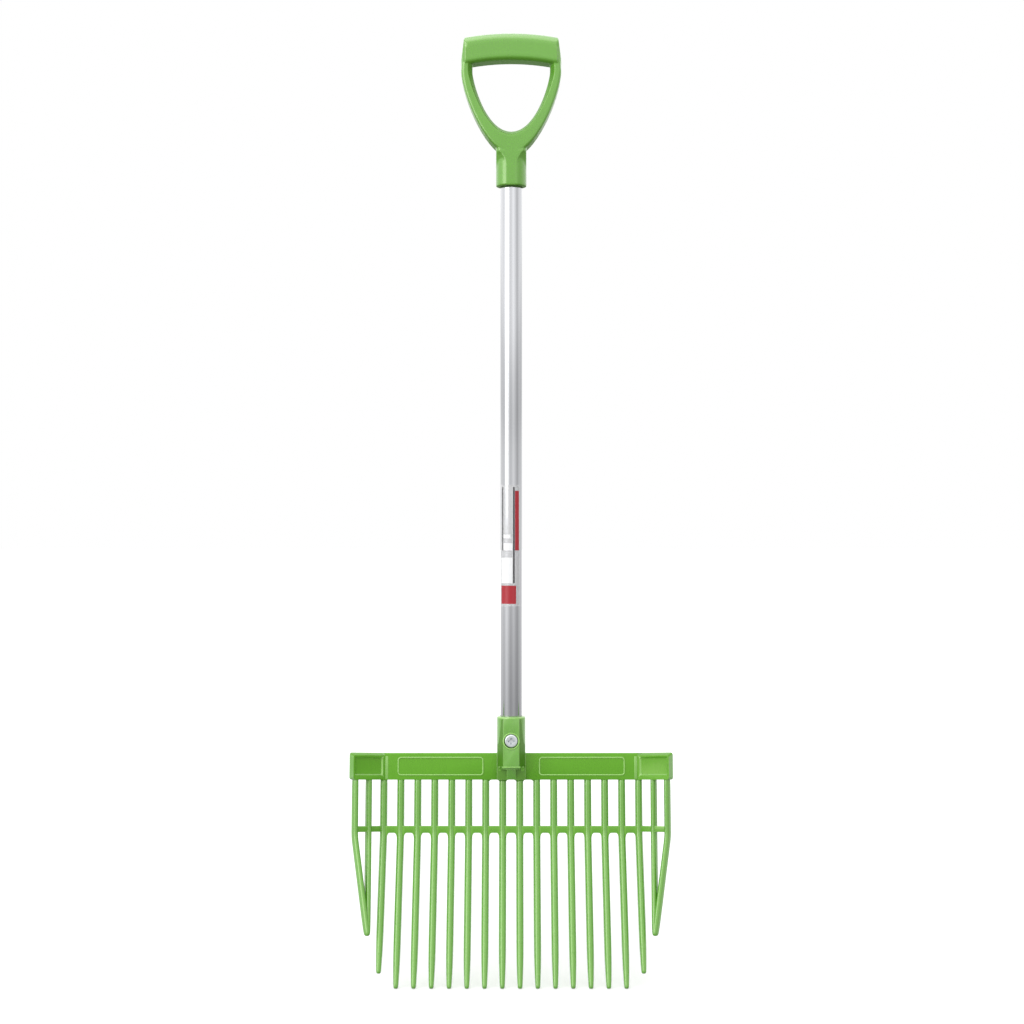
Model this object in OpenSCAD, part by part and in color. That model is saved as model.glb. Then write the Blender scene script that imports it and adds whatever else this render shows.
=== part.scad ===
/* [Grip] */
// Widest width of the D grip
grip_w = 129; // [116:1:145]
// Height of the grip bar's section
grip_bar_h = 36; // [30:0.5:42]
// Depth of the grip bar, front to back
grip_bar_d = 34; // [28:0.5:40]
// Edge rounding of the grip bar's section
grip_bar_round = 13; // [8:0.5:14]
// Rounding of the bar's ends, seen from above
grip_end_round = 10; // [4:0.5:13]
// Rise of the bar's arch over the whole width
grip_crown = 7; // [3:0.5:11]
// How far each end of the bar leans in at its top
grip_lean = 5; // [0:0.5:8]
// Width of the hand opening just under the bar
opening_w = 100; // [84:1:106]
// Height of the hand opening at its middle
opening_h = 91; // [82:0.5:98]
// How far under the bar the arms are widest
arm_drop = 13; // [6:1:20]
// How far below that the arms' outside holds its upright run before it turns in
arm_pull = 31; // [15:1:40]
// The same for the opening's side of the arms
opening_pull = 12; // [8:0.5:30]
// Depth of the arms, front to back
arm_d = 30; // [22:0.5:33]
// Width of the bevel round the hand opening
arm_bevel = 5.5; // [3:0.25:8]
// Rounding of the arms' outer edges
arm_round = 4; // [2:0.25:6]
// Lowest point of the yoke's outer curve, below the bar
yoke_drop = 121.5; // [112:0.5:128]
// Outer diameter of the grip's socket
grip_socket_d = 39.5; // [36:0.5:46]
// Distance from the bar's underside to the socket's mouth
grip_mouth_drop = 161; // [150:1:185]
// How far the shaft goes into the grip
grip_insert = 46; // [34:1:50]
// Width of the flat strip down the socket's front
grip_strip_w = 11.5; // [6:0.5:18]
// Sweep radius of the hollows beside the strip
grip_hollow_r = 29; // [22:0.5:36]

/* [Shaft] */
// Outer diameter of the tube
shaft_d = 28; // [25:0.5:30]
// Wall of the tube
shaft_wall = 1.5; // [1:0.1:3]
// Length of bare tube between the two sockets
shaft_show = 682; // [400:1:1100]
// Clearance between the tube and a socket's bore, on the diameter
socket_clear = 0.3; // [0.1:0.05:0.6]

/* [Label] */
// Length of the film label
label_len = 156; // [60:1:200]
// Width of the label, measured round the tube
label_w = 28; // [12:1:60]
// Thickness of the film
label_film = 0.2; // [0.1:0.05:0.5]
// Thickness of the glue between the tube and the film
label_glue = 0.05; // [0.02:0.01:0.2]
// Distance from the grip's mouth to the label's top edge
label_drop = 384; // [10:1:500]
// Turn of the label's middle round the tube, in degrees
label_turn = -9; // [-60:1:60]

/* [Head body] */
// Forward lean of the head against the shaft, in degrees
head_tilt = 8; // [4:0.5:14]
// Outer diameter of the head's socket
head_socket_d = 37; // [35:0.5:44]
// Length of the socket's pad, from the mouth down to its ledge
head_socket_len = 67; // [60:1:80]
// Plastic left under the shaft's end in the socket
head_floor = 7; // [4:0.5:12]
// Rounding of the socket's mouth
mouth_round = 1.5; // [0.5:0.25:2]
// Lean of the flat pad on the socket's front, in degrees
pad_tilt = 8; // [4:0.5:12]
// Width of the flat pad on the socket's front
pad_w = 20.6; // [19:0.2:26]
// How far the pad stands proud of the round socket at the mouth
pad_proud = 0.6; // [0.2:0.1:2]
// Height of the bar that carries the tines
bar_h = 34.5; // [32:0.5:40]
// Thickness of the bar
bar_t = 10; // [9.5:0.5:14]
// Edge rounding along the bar's top
bar_round = 2.5; // [1:0.25:4]
// Front wall of the bar, in front of the pockets in its back
bar_skin = 4; // [2.5:0.25:6]
// Rib between two pockets, and the rim round them
bar_rib = 4; // [2.5:0.25:6]
// How far the bar's middle plane lies behind the shaft's axis
bar_back = 3; // [0:0.5:6]
// Distance from the socket's ledge down to the bar's underside
ledge_rise = 15.5; // [12:0.5:18]

/* [Bead frames] */
// Length of the raised bead frame on each half of the bar
frame_len = 111; // [80:1:120]
// Height of the bead frame
frame_h = 24; // [16:0.5:26]
// Width of the bead
frame_bead = 1.8; // [0.8:0.1:2.5]
// Height of the bead above the bar's face
frame_rise = 1; // [0.3:0.1:1.5]
// Outer corner radius of the bead frame
frame_round = 4.5; // [3:0.25:8]
// Distance from the head's middle to the near end of the frame
frame_start = 35.5; // [28:0.5:42]

/* [Wings] */
// Forward fold of each wing, in degrees
wing_fold = 36; // [20:1:44]
// Distance from the last main tine in to the fold
fold_in = 1.5; // [0:0.25:3]
// Length of a wing from its fold
wing_len = 47.2; // [46:0.2:60]
// Spacing of the side tines along a wing
wing_pitch = 20.3; // [18:0.1:20.5]
// Slope of the wing's top edge, front edge below the back
wing_slope = 3.5; // [1:0.25:6]
// Depth of the tray in the wing's front
tray_deep = 2; // [1:0.25:6]
// Rim round the tray
tray_rim = 2.25; // [1.5:0.25:6]
// Corner radius of the tray and of the wing's end
tray_round = 3; // [1.5:0.25:5]

/* [Tines] */
// Number of tines on the straight bar
tine_count = 16; // [8:2:20]
// Spacing of the main tines
tine_pitch = 21.9; // [20:0.1:26]
// Width of a main tine
tine_w = 8.6; // [6:0.2:11]
// Depth of a main tine, front to back
tine_d = 10; // [8:0.25:10]
// Width of a side tine
side_tine_w = 6.4; // [5:0.2:9]
// Depth of a side tine, front to back
side_tine_d = 8.2; // [7.5:0.1:9.5]
// Width of every tine at its tip
tip_w = 5.4; // [3:0.2:6]
// Depth of every tine at its tip
tip_d = 5.5; // [3:0.25:7]
// Length of a main tine from its bend to its tip
tine_reach = 200; // [120:1:260]
// How much shorter the tine at each end of the straight bar is
end_short = 19; // [0:1:40]
// Forward bend of the tines below the cross rail, in degrees
tine_bend = 23.5; // [10:0.5:40]
// Radius of that bend
bend_r = 40; // [20:1:80]
// Length over which a tine thins towards its tip
tip_taper = 40; // [20:1:70]
// Height of a side tine's tip below the bend, along the head
side_drop = 121; // [90:0.5:150]
// How far a side tine's tip stands in front of the bar's middle plane
side_forward = 63; // [50:1:110]
// How far a side tine's tip lies outside the fold
side_out = 16; // [10:0.2:20]

/* [Cross rail] */
// Clear height of the windows between bar and rail
window_h = 58.7; // [40:0.1:90]
// Height of the rail
rail_h = 9; // [4:0.5:10]
// Height of the rail between side tines
side_rail_h = 7.5; // [4:0.5:10]
// Corner radius of the arches under the rail
arch_r = 4.2; // [2:0.2:5]
// Corner radius at the top of the windows under the socket
window_r = 3.6; // [2:0.2:5]
// Number of windows under the socket that have rounded tops
round_windows = 3; // [1:2:5]

/* [Fasteners] */
// Diameter of the socket bolt
bolt_d = 8; // [6:0.5:9]
// Length of the socket bolt under its head
bolt_len = 50; // [46:1:60]
// Diameter of the bolt's pan head
bolt_head_d = 16.4; // [13:0.2:16.6]
// Height of the bolt's pan head
bolt_head_h = 6; // [4:0.25:7]
// Distance from the socket's mouth to the bolt
bolt_drop = 30; // [26:0.5:36]
// Plastic left under the bolt's head
bolt_seat = 4.2; // [1.5:0.1:5]
// Diameter of the counterbore round the bolt's head
counterbore_d = 18; // [17:0.25:18.5]
// Width of the raised lip round the counterbore
lip_w = 1.8; // [0.8:0.1:2.4]
// Height of that lip
lip_h = 1; // [0.3:0.1:1.5]
// Outer diameter of the washer
washer_d = 16; // [14:0.5:18]
// Thickness of the washer
washer_t = 1.6; // [1:0.1:2.5]
// Width of the lock nut across its flats
nut_af = 13; // [12:0.5:14]
// Height of the nut's hexagon
nut_h = 5.5; // [4:0.25:7]
// Height of the nut's locking collar
nut_collar_h = 2.5; // [1:0.25:4]
// Diameter of the grip screw's shank
screw_d = 4.8; // [3.5:0.1:6]
// Length of the grip screw under its head
screw_len = 12; // [9:0.5:18]
// Diameter of the grip screw's head
screw_head_d = 9.5; // [8:0.25:11]
// Height of the grip screw's head
screw_head_h = 3; // [2:0.25:4]
// Distance from the grip screw up to the socket's mouth, below it
screw_rise = 18; // [12:0.5:26]

/* [Hidden] */
$fn = 64;
// Overrun of every cut past the face that it opens
over = 1;
// Clearance of a fastener's shank in its hole, on the diameter
shank_clear = 0.4;
// Depth of the cross recess in a screw head, as a share of the head's height
recess_deep_share = 0.55;
// Length and width of the cross recess, as shares of the head's diameter
recess_long_share = 0.5;
recess_wide_share = 0.12;
// Drop of the strip's start below the yoke, as a share of the socket's radius
grip_bend_share = 0.85;
// Reach of the yoke's curves to each side at the bottom, as a share of their half width
yoke_pull_share = 0.48;
opening_pull_share = 0.66;
// Facets round the back of each fold of the bar
fold_steps = 6;
// Radius of a cut round edge against its inset, over one so that the cut crosses both faces at an angle
edge_share = 1.04;
// How far the throat's flats stand inside the round socket, and the socket's flats inside the strip's
throat_set = 0.3;
// Steps of the throat from the yoke down to the strip
throat_steps = 5;
// Steps of the yoke from one arm to the other
yoke_steps = 32;
// Half depth of the arms' inner edge beside the opening, as a share of their full half depth
arm_land_share = 0.45;
// Most of an arm's width that its bevel or its rounding takes, as a share
wall_share = 0.42;
// Half-way point of a rounded edge, as a share of its radius
round_share = 1 - sqrt(1 / 2);
// Width of the rib under the socket's ledge, as a share of the pad's width
foot_rib_share = 0.55;
// Where a tine's flat sides start and end, from its front ridge to its back, as shares of its half depth
side_front_share = 0.1;
side_back_share = -0.7;
// A tine's section from the front ridge round to the back: half width, then half depth
tine_shares = [
    [0.3, 1], [0.68, 0.8], [0.92, 0.45], [1, side_front_share], [1, side_back_share], [0.72, -1]
];
// Steps of a tine's bend
bend_steps = 5;
// Rings of a tine's round tip: place along the tip's rounding, then size of the ring there
tip_shares = [[1, 1], [0.5, 0.87], [0.12, 0.47]];
// Size of a tine where its tip starts to thin, as a share of its full section
shank_share = 0.95;

// Grip places, measured from the underside of its bar
grip_arch_r = grip_w * grip_w / (8 * grip_crown) + grip_crown / 2;
grip_socket_r = grip_socket_d / 2;
throat_d = 2 * sqrt(grip_socket_r * grip_socket_r - grip_strip_w * grip_strip_w / 4);
throat_side = grip_socket_r - throat_set;
strip_z = -yoke_drop - grip_bend_share * grip_socket_r;
throat_z = strip_z + rise(grip_hollow_r, grip_hollow_r + grip_strip_w / 2 - throat_side + arm_round);

// Shaft places
bore_d = shaft_d + socket_clear;
shaft_top = -grip_mouth_drop + grip_insert;
head_mouth = -grip_mouth_drop - shaft_show;

// Head places: the head's own frame has its middle on the bar's middle plane and leans forward
head_socket_r = head_socket_d / 2;
ledge_z = head_mouth - head_socket_len;
shaft_bottom = ledge_z + head_floor;
bar_mid_z = ledge_z - ledge_rise + bar_h / 2;
pad_back = bar_back * cos(pad_tilt) + (head_mouth - bar_mid_z) * sin(pad_tilt);
pad_front = pad_back + (head_socket_r + pad_proud) * cos(pad_tilt);
pad_low = ledge_rise - bar_h / 2;
pad_high = (head_mouth - bar_mid_z) * cos(pad_tilt)
    - (head_socket_r + pad_proud + bar_back) * sin(pad_tilt) - mouth_round;
fold_x = (tine_count - 1) / 2 * tine_pitch - fold_in;
bolt_z = head_mouth - bolt_drop;
bolt_seat_y = -bore_d / 2 - bolt_seat;
nut_seat_y = head_socket_r + lip_h;
plinth_t = bar_t / 2;

// Tine places, in the head's frame
root_z = -bar_h / 2;
rail_top = root_z - window_h;
bend_z = rail_top - rail_h - arch_r;
rail_front = tine_d / 2 * side_front_share;
rail_back = tine_d / 2 * side_back_share;

PLASTIC = [0.46, 0.69, 0.30];
ALUMINIUM = [0.80, 0.81, 0.82];
ZINC = [0.74, 0.76, 0.77];
FILM = [0.93, 0.93, 0.92];

function two_digits(i) = str(i < 10 ? "0" : "", i);
function tine_name(i) = str("tine_", two_digits(i + 1));

function unit(v) = v / norm(v);
function rise(r, x) = sqrt(r * r - x * x);
function backwards(list) = [for (k = [len(list) - 1:-1:0]) list[k]];
function mix(a, b, share) = a + (b - a) * share;
function turned(angle) = [cos(angle), -sin(angle)];
function tine_x(i) = (i - (tine_count - 1) / 2) * tine_pitch;

// A closed skin through rings of equal length, listed along the piece
module loft(rings) {
    n = len(rings[0]);
    last = len(rings) - 1;
    sides = [for (r = [0:last - 1]) for (i = [0:n - 1]) each [
        [r * n + i, r * n + (i + 1) % n, (r + 1) * n + i],
        [r * n + (i + 1) % n, (r + 1) * n + (i + 1) % n, (r + 1) * n + i]
    ]];
    start_cap = [for (i = [1:n - 2]) [0, i + 1, i]];
    end_cap = [for (i = [1:n - 2]) [last * n, last * n + i, last * n + i + 1]];
    polyhedron([for (ring = rings) each ring], concat(sides, start_cap, end_cap));
}

// A flat rectangle with round corners, centred
module round_rect(w, h, r) {
    square([w - 2 * r, h], center = true);
    square([w, h - 2 * r], center = true);
    for (x = [-1, 1]) for (y = [-1, 1]) translate([x * (w / 2 - r), y * (h / 2 - r)]) circle(r);
}

// Stands a flat shape up in the plane of the bar, with its thickness going back
module upright(t) {
    rotate([90, 0, 0]) mirror([0, 0, 1]) linear_extrude(t) children();
}

module cross_recess(head_d, head_h) {
    long = head_d * recess_long_share;
    wide = head_d * recess_wide_share;
    deep = head_h * recess_deep_share;
    for (turn = [0, 90]) rotate(turn) translate([-long / 2, -wide / 2, head_h - deep])
        cube([long, wide, deep + over]);
}

// A pan-head screw standing on the underside of its head, shank down
module pan_screw(d, length, head_d, head_h) {
    round_r = head_h / 2;
    difference() {
        rotate_extrude() {
            translate([0, -length]) square([d / 2, length + head_h / 2]);
            square([head_d / 2 - round_r, head_h]);
            square([head_d / 2, head_h - round_r]);
            intersection() {
                translate([head_d / 2 - round_r, head_h - round_r]) circle(round_r);
                square([head_d / 2, head_h]);
            }
        }
        cross_recess(head_d, head_h);
    }
}

// Grip

module grip_bar() {
    low = -grip_crown - grip_bar_h / 2;
    high = grip_bar_h + over;
    intersection() {
        translate([0, 0, -grip_arch_r]) rotate([90, 0, 0]) rotate([0, 0, 45])
            rotate_extrude(angle = 90) translate([grip_arch_r + grip_bar_h / 2, 0])
                round_rect(grip_bar_h, grip_bar_d, grip_bar_round);
        translate([0, -grip_bar_d, 0]) upright(2 * grip_bar_d) polygon([
            [-grip_w / 2, low], [grip_w / 2, low], [grip_w / 2, 0],
            [grip_w / 2 - grip_lean, high], [grip_lean - grip_w / 2, high], [-grip_w / 2, 0]
        ]);
        translate([0, 0, low]) linear_extrude(high - low) round_rect(grip_w, grip_bar_d, grip_end_round);
    }
}

// A point of one of the yoke's curves; place runs from 1 at the right arm to -1 at the left
function yoke_point(half_w, low, pull, pull_share, place) = let (t = 1 - abs(place), u = 1 - t) [
    sign(place) * half_w * (u * u * u + 3 * u * u * t + 3 * u * t * t * pull_share),
    -arm_drop * u * u * u - (arm_drop + pull) * 3 * u * u * t - low * (3 * u * t * t + t * t * t)
];

// Front half of the arms' section: distance from the opening, then half depth
function arm_section(wide, half_d) = let (
    bevel = min(arm_bevel, wide * wall_share),
    r = min(arm_round, wide * wall_share)
) [
    [0, half_d * arm_land_share], [bevel, half_d], [wide - r, half_d],
    [wide - r * round_share, half_d - r * round_share], [wide, half_d - r]
];

// One ring of the arms' section between an inner and an outer point
function arm_ring(inner, outer, depth) = let (
    wide = norm(outer - inner),
    front = arm_section(wide, depth / 2)
) [
    for (s = concat(front, [for (a = backwards(front)) [a[0], -a[1]]]))
    let (p = mix(inner, outer, s[0] / wide)) [p[0], -s[1], p[1]]
];

module yoke() {
    inner_w = opening_w / 2;
    outer_w = grip_w / 2;
    root = grip_bar_h / 3;
    root_w = outer_w - grip_lean / 2;
    arms = [for (k = [0:yoke_steps]) let (place = 1 - 2 * k / yoke_steps) arm_ring(
        yoke_point(inner_w, opening_h, opening_pull, opening_pull_share, place),
        yoke_point(outer_w, yoke_drop, arm_pull, yoke_pull_share, place),
        mix(throat_d, arm_d, pow(sin(90 * place), 2))
    )];
    loft(concat(
        [arm_ring([inner_w, root], [root_w, root], arm_d)],
        arms,
        [arm_ring([-inner_w, root], [-root_w, root], arm_d)]
    ));
}

// Round socket with a narrow flat at its front and back, just under the strips
module grip_socket() {
    height = grip_mouth_drop + throat_z;
    deep = throat_d - 2 * throat_set;
    translate([0, 0, -grip_mouth_drop]) intersection() {
        rotate_extrude() {
            translate([0, mouth_round]) square([grip_socket_r, height - mouth_round]);
            square([grip_socket_r - mouth_round, height]);
            translate([grip_socket_r - mouth_round, mouth_round]) circle(mouth_round);
        }
        translate([-grip_socket_d / 2 - over, -deep / 2, -over])
            cube([grip_socket_d + 2 * over, deep, height + 2 * over]);
    }
}

// One ring of the throat: a flat front and back, slanted corners and flat sides
function throat_ring(z, flat, side, half_d, side_d) = [
    [-flat, -half_d, z], [flat, -half_d, z], [side, -side_d, z], [side, side_d, z],
    [flat, half_d, z], [-flat, half_d, z], [-side, side_d, z], [-side, -side_d, z]
];

// Throat from inside the yoke down to the mouth, where two hollow corners narrow its face to a strip
module grip_throat() {
    low = -grip_mouth_drop + mouth_round;
    top = throat_z + 3 * arm_round;
    half_d = throat_d / 2;
    edge_d = half_d - arm_round;
    hollow = [for (k = [0:throat_steps]) let (
        z = mix(throat_z, strip_z, k / throat_steps),
        flat = grip_strip_w / 2 + grip_hollow_r - rise(grip_hollow_r, z - strip_z)
    ) throat_ring(z, flat, throat_side, half_d, mix(edge_d, arm_round, k / throat_steps))];
    loft(concat(
        [throat_ring(top, throat_side - arm_round, throat_side, edge_d, edge_d - arm_round)],
        hollow,
        [throat_ring(low, grip_strip_w / 2, throat_side, half_d, arm_round)]
    ));
}

module grip_screw_axis() {
    translate([0, grip_socket_r - screw_head_h / 2, -grip_mouth_drop + screw_rise])
        rotate([-90, 0, 0]) children();
}

module grip() {
    color(PLASTIC) difference() {
        union() {
            grip_bar();
            yoke();
            grip_socket();
            grip_throat();
        }
        translate([0, 0, -grip_mouth_drop - over]) cylinder(d = bore_d, h = grip_insert + over);
        grip_screw_axis() {
            translate([0, 0, -screw_len]) cylinder(d = screw_d + shank_clear, h = screw_len);
            cylinder(d = screw_head_d + shank_clear, h = screw_head_h);
        }
    }
}

module grip_screw() {
    color(ZINC) grip_screw_axis() pan_screw(screw_d, screw_len, screw_head_d, screw_head_h);
}

// Shaft

module shaft() {
    length = shaft_top - shaft_bottom;
    color(ALUMINIUM) difference() {
        translate([0, 0, shaft_bottom]) cylinder(d = shaft_d, h = length);
        translate([0, 0, shaft_bottom - over])
            cylinder(d = shaft_d - 2 * shaft_wall, h = length + 2 * over);
        translate([0, 0, bolt_z]) rotate([90, 0, 0])
            cylinder(d = bolt_d + shank_clear, h = shaft_d + over, center = true);
        grip_screw_axis() translate([0, 0, -screw_len]) cylinder(d = screw_d + shank_clear, h = screw_len);
    }
}

module shaft_label() {
    r = shaft_d / 2 + label_glue;
    wrap = label_w / r * 180 / PI;
    top = -grip_mouth_drop - label_drop;
    color(FILM) translate([0, 0, top - label_len]) rotate(label_turn - 90 - wrap / 2)
        rotate_extrude(angle = wrap) translate([r, 0]) square([label_film, label_len]);
}

// Head

module head_frame() {
    translate([0, bar_back, bar_mid_z]) rotate([-head_tilt, 0, 0]) children();
}

// The pad's own frame, about the same point as the head's
module pad_frame() {
    translate([0, bar_back, bar_mid_z]) rotate([-pad_tilt, 0, 0]) children();
}

// Corners of the bar's right half from above: straight, then folded forward about its front edge
function half_plan() = let (front = [fold_x, -bar_t / 2], end = front + wing_len * turned(wing_fold))
concat(
    [for (k = [0:fold_steps]) front + bar_t * turned(wing_fold * k / fold_steps - 90)],
    [end + bar_t * turned(wing_fold - 90), end, front]
);

module along_bar(length) {
    rotate([90, 0, 90]) linear_extrude(length) children();
}

// What is cut away to round one edge; the corner is at the origin and the solid below and left of it
module edge_round(r) {
    difference() {
        translate([-r, -r]) square(r + over);
        translate([-r, -r]) circle(r * edge_share);
    }
}

module back_pockets() {
    pocket_w = tine_pitch - bar_rib;
    for (i = [0:tine_count - 2]) let (x = (tine_x(i) + tine_x(i + 1)) / 2)
        if (abs(x) - pocket_w / 2 > head_socket_r)
            translate([x, bar_skin - bar_t / 2, 0]) upright(bar_t)
                round_rect(pocket_w, bar_h - 2 * bar_rib, bar_round);
}

// Cut from the right wing: the sloping top, the rounded end, the tray, and the point left at the fold
module wing_cuts() {
    high = bar_h / 2;
    run = bar_t - bar_round;
    slope = wing_slope / run;
    deep = wing_slope + over / 2;
    translate([fold_x, -bar_t / 2, 0]) {
        translate([0, 0, high]) rotate_extrude()
            polygon([[0, -deep], [over, -deep], [2 * over + deep, over], [0, over]]);
        rotate([0, 0, -wing_fold]) {
            translate([0, 0, high]) along_bar(wing_len + over)
                polygon([[-over, -wing_slope - slope * over], [-over, over], [run + over / slope, over]]);
            translate([0, -over, 0]) upright(bar_t + 2 * over) for (side = [0, 1]) mirror([0, side])
                translate([wing_len, high]) edge_round(tray_round);
            translate([wing_len / 2, tray_deep, -wing_slope / 2]) mirror([0, 1, 0])
                upright(tray_deep + over)
                    round_rect(wing_len - 2 * tray_rim, bar_h - wing_slope - 2 * tray_rim, tray_round);
        }
    }
}

module bar() {
    difference() {
        translate([0, 0, -bar_h / 2]) linear_extrude(bar_h)
            polygon(concat(half_plan(), [for (p = backwards(half_plan())) [-p[0], p[1]]]));
        translate([-fold_x, 0, 0]) along_bar(2 * fold_x) translate([-bar_t / 2, bar_h / 2]) mirror([1, 0])
            edge_round(bar_round);
        back_pockets();
        for (side = [0, 1]) mirror([side, 0, 0]) wing_cuts();
    }
}

module bead_frame() {
    translate([frame_start + frame_len / 2, -bar_t / 2 - frame_rise, 0]) upright(frame_rise) difference() {
        round_rect(frame_len, frame_h, frame_round);
        round_rect(frame_len - 2 * frame_bead, frame_h - 2 * frame_bead, frame_round - frame_bead);
    }
}

module socket_tube() {
    translate([0, 0, ledge_z]) rotate_extrude() {
        square([head_socket_r, head_socket_len - mouth_round]);
        square([head_socket_r - mouth_round, head_socket_len]);
        translate([head_socket_r - mouth_round, head_socket_len - mouth_round]) circle(mouth_round);
    }
}

// Flat pad on the socket's front, which leans so that it stands out more towards its ledge
module socket_pad() {
    translate([0, 0, pad_low]) linear_extrude(pad_high - pad_low) polygon([
        [-pad_w / 2, -pad_front], [pad_w / 2, -pad_front],
        [head_socket_r - pad_proud, -pad_back], [pad_proud - head_socket_r, -pad_back]
    ]);
}

// Plinth behind the socket with one middle rib and two hollow-edged gussets under the ledge
module socket_foot() {
    rib_w = pad_w * foot_rib_share;
    gusset_t = bar_rib;
    reach = pad_front - bar_t;
    top = pad_low + over;
    translate([-head_socket_r, -bar_t / 2 - plinth_t, -bar_h / 2]) cube([head_socket_d, plinth_t, bar_h]);
    translate([-rib_w / 2, 0, 0]) along_bar(rib_w) polygon([
        [-bar_t / 2, -bar_h / 2], [-bar_t / 2 - plinth_t, -bar_h / 2],
        [-reach, top], [-bar_t / 2, top]
    ]);
    for (x = [gusset_t / 2 - head_socket_r, head_socket_r - 3 * gusset_t / 2])
        translate([x, 0, 0]) along_bar(gusset_t) difference() {
            translate([-reach, -bar_h / 2]) square([reach, ledge_rise + over]);
            translate([-reach, -bar_h / 2]) circle(ledge_rise);
        }
}

module bolt_axis() {
    translate([0, bolt_seat_y, bolt_z]) rotate([90, 0, 0]) children();
}

module bolt_lip() {
    d = counterbore_d + 2 * lip_w;
    intersection() {
        bolt_axis() cylinder(d = d, h = pad_front);
        pad_frame() translate([-d, -pad_front - lip_h, -bar_h]) cube([2 * d, pad_front, 4 * bar_h]);
    }
}

module nut_boss() {
    translate([0, 0, bolt_z]) rotate([-90, 0, 0]) cylinder(d = washer_d + 2 * lip_w, h = nut_seat_y);
}

// Webs that round the tops of the windows under the socket
module window_webs() {
    gap = tine_pitch - tine_w;
    for (k = [0:round_windows - 1])
        translate([(k - (round_windows - 1) / 2) * tine_pitch, -rail_front, root_z])
            upright(rail_front - rail_back) round_corners(gap, window_r);
}

module head_body() {
    color(PLASTIC) difference() {
        union() {
            head_frame() {
                bar();
                for (side = [0, 1]) mirror([side, 0, 0]) bead_frame();
                socket_foot();
                window_webs();
            }
            socket_tube();
            pad_frame() socket_pad();
            bolt_lip();
            nut_boss();
        }
        translate([0, 0, shaft_bottom]) cylinder(d = bore_d, h = head_mouth - shaft_bottom + over);
        bolt_axis() {
            translate([0, 0, -bolt_len]) cylinder(d = bolt_d + shank_clear, h = bolt_len + over);
            cylinder(d = counterbore_d, h = pad_front);
        }
    }
}

// Cross rail

// Two corner webs under a straight edge, with a round hollow between them
module round_corners(gap, r) {
    difference() {
        translate([-gap / 2, -r]) square([gap, r]);
        for (side = [-1, 1]) translate([side * (gap / 2 - r), -r]) circle(r);
        translate([r - gap / 2, -r - over]) square([gap - 2 * r, r + over]);
    }
}

module main_rail_piece() {
    gap = tine_pitch - tine_w;
    translate([0, -rail_front, rail_top - rail_h]) upright(rail_front - rail_back) {
        translate([-gap / 2, 0]) square([gap, rail_h]);
        round_corners(gap, arch_r);
    }
}

// Moves to a place along the right wing, on the wing's own middle line, facing as the wing does
module on_wing(along) {
    translate([fold_x, -bar_t / 2, 0]) rotate([0, 0, -wing_fold]) translate([along, bar_t / 2, 0]) children();
}

module side_rail(from, to) {
    on_wing(from) translate([0, -rail_front, rail_top - side_rail_h])
        cube([to - from, rail_front - rail_back, side_rail_h]);
}

module cross_rail() {
    color(PLASTIC) head_frame() {
        for (i = [0:tine_count - 2])
            translate([tine_x(i) + tine_pitch / 2, 0, 0]) main_rail_piece();
        for (side = [0, 1]) mirror([side, 0, 0]) {
            side_rail(wing_pitch + side_tine_w / 2, 2 * wing_pitch - side_tine_w / 2);
            difference() {
                side_rail(0, wing_pitch - side_tine_w / 2);
                translate([fold_x + fold_in, 0, rail_top - rail_h]) linear_extrude(rail_h + over)
                    polygon(section(tine_w / 2, tine_d / 2));
            }
        }
    }
}

// Tines

function section(half_w, half_d) = [
    for (s = concat(tine_shares, [for (a = backwards(tine_shares)) [-a[0], a[1]]]))
    [s[0] * half_w, -s[1] * half_d]
];

// One ring of a tine, square to the way that the tine runs there
function tine_ring(centre, along, half_w, half_d) = let (
    across = unit([1, 0, 0] - along[0] * along),
    front = cross(along, across)
) [for (p = section(half_w, half_d)) centre + p[0] * across - p[1] * front];

// A tine in its own frame: straight down from its root, round the bend, then thinning to its tip
module tine(w, d, tip) {
    knee = [0, 0, bend_z - root_z];
    down = [0, 0, -1];
    ahead = unit(tip - knee);
    turn = acos(down * ahead);
    cut = bend_r * tan(turn / 2);
    reach = norm(tip - knee);
    tip_r = tip_d / 2;
    start = knee - cut * down;
    size_at = function(share) [w, d] / 2 * share;
    bend = [for (k = [0:bend_steps]) let (
        s = k / bend_steps,
        a = mix(start, knee, s),
        b = mix(knee, knee + cut * ahead, s)
    ) [mix(a, b, s), unit(mix(down, ahead, s)), size_at(1)]];
    thin = [[tip - tip_taper * ahead, ahead, size_at(shank_share)]];
    end = [for (s = tip_shares) [tip - s[0] * tip_r * ahead, ahead, [tip_w, tip_d] / 2 * s[1]]];
    stations = concat([[[0, 0, 0], down, size_at(1)]], bend, thin, end);
    color(PLASTIC) loft([for (s = stations) tine_ring(s[0], s[1], s[2][0], s[2][1])]);
}

module main_tine(i) {
    reach = tine_reach - (i == 0 || i == tine_count - 1 ? end_short : 0);
    tip = [0, -reach * sin(tine_bend), bend_z - root_z - reach * cos(tine_bend)];
    head_frame() translate([tine_x(i), 0, root_z]) tine(tine_w, tine_d, tip);
}

// Where the two side tines of the right wing meet, in the head's frame
side_tip = [fold_x + side_out, -side_forward, bend_z - side_drop];

// A place on the right wing's middle line, in the head's frame
function wing_place(along, z) = [
    fold_x + along * cos(wing_fold) + bar_t / 2 * sin(wing_fold),
    -bar_t / 2 - along * sin(wing_fold) + bar_t / 2 * cos(wing_fold),
    z
];

// The same tip seen from a tine's own frame on the wing
function from_wing(along, p) = let (d = p - wing_place(along, root_z)) [
    d[0] * cos(wing_fold) - d[1] * sin(wing_fold),
    d[0] * sin(wing_fold) + d[1] * cos(wing_fold),
    d[2]
];

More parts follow.
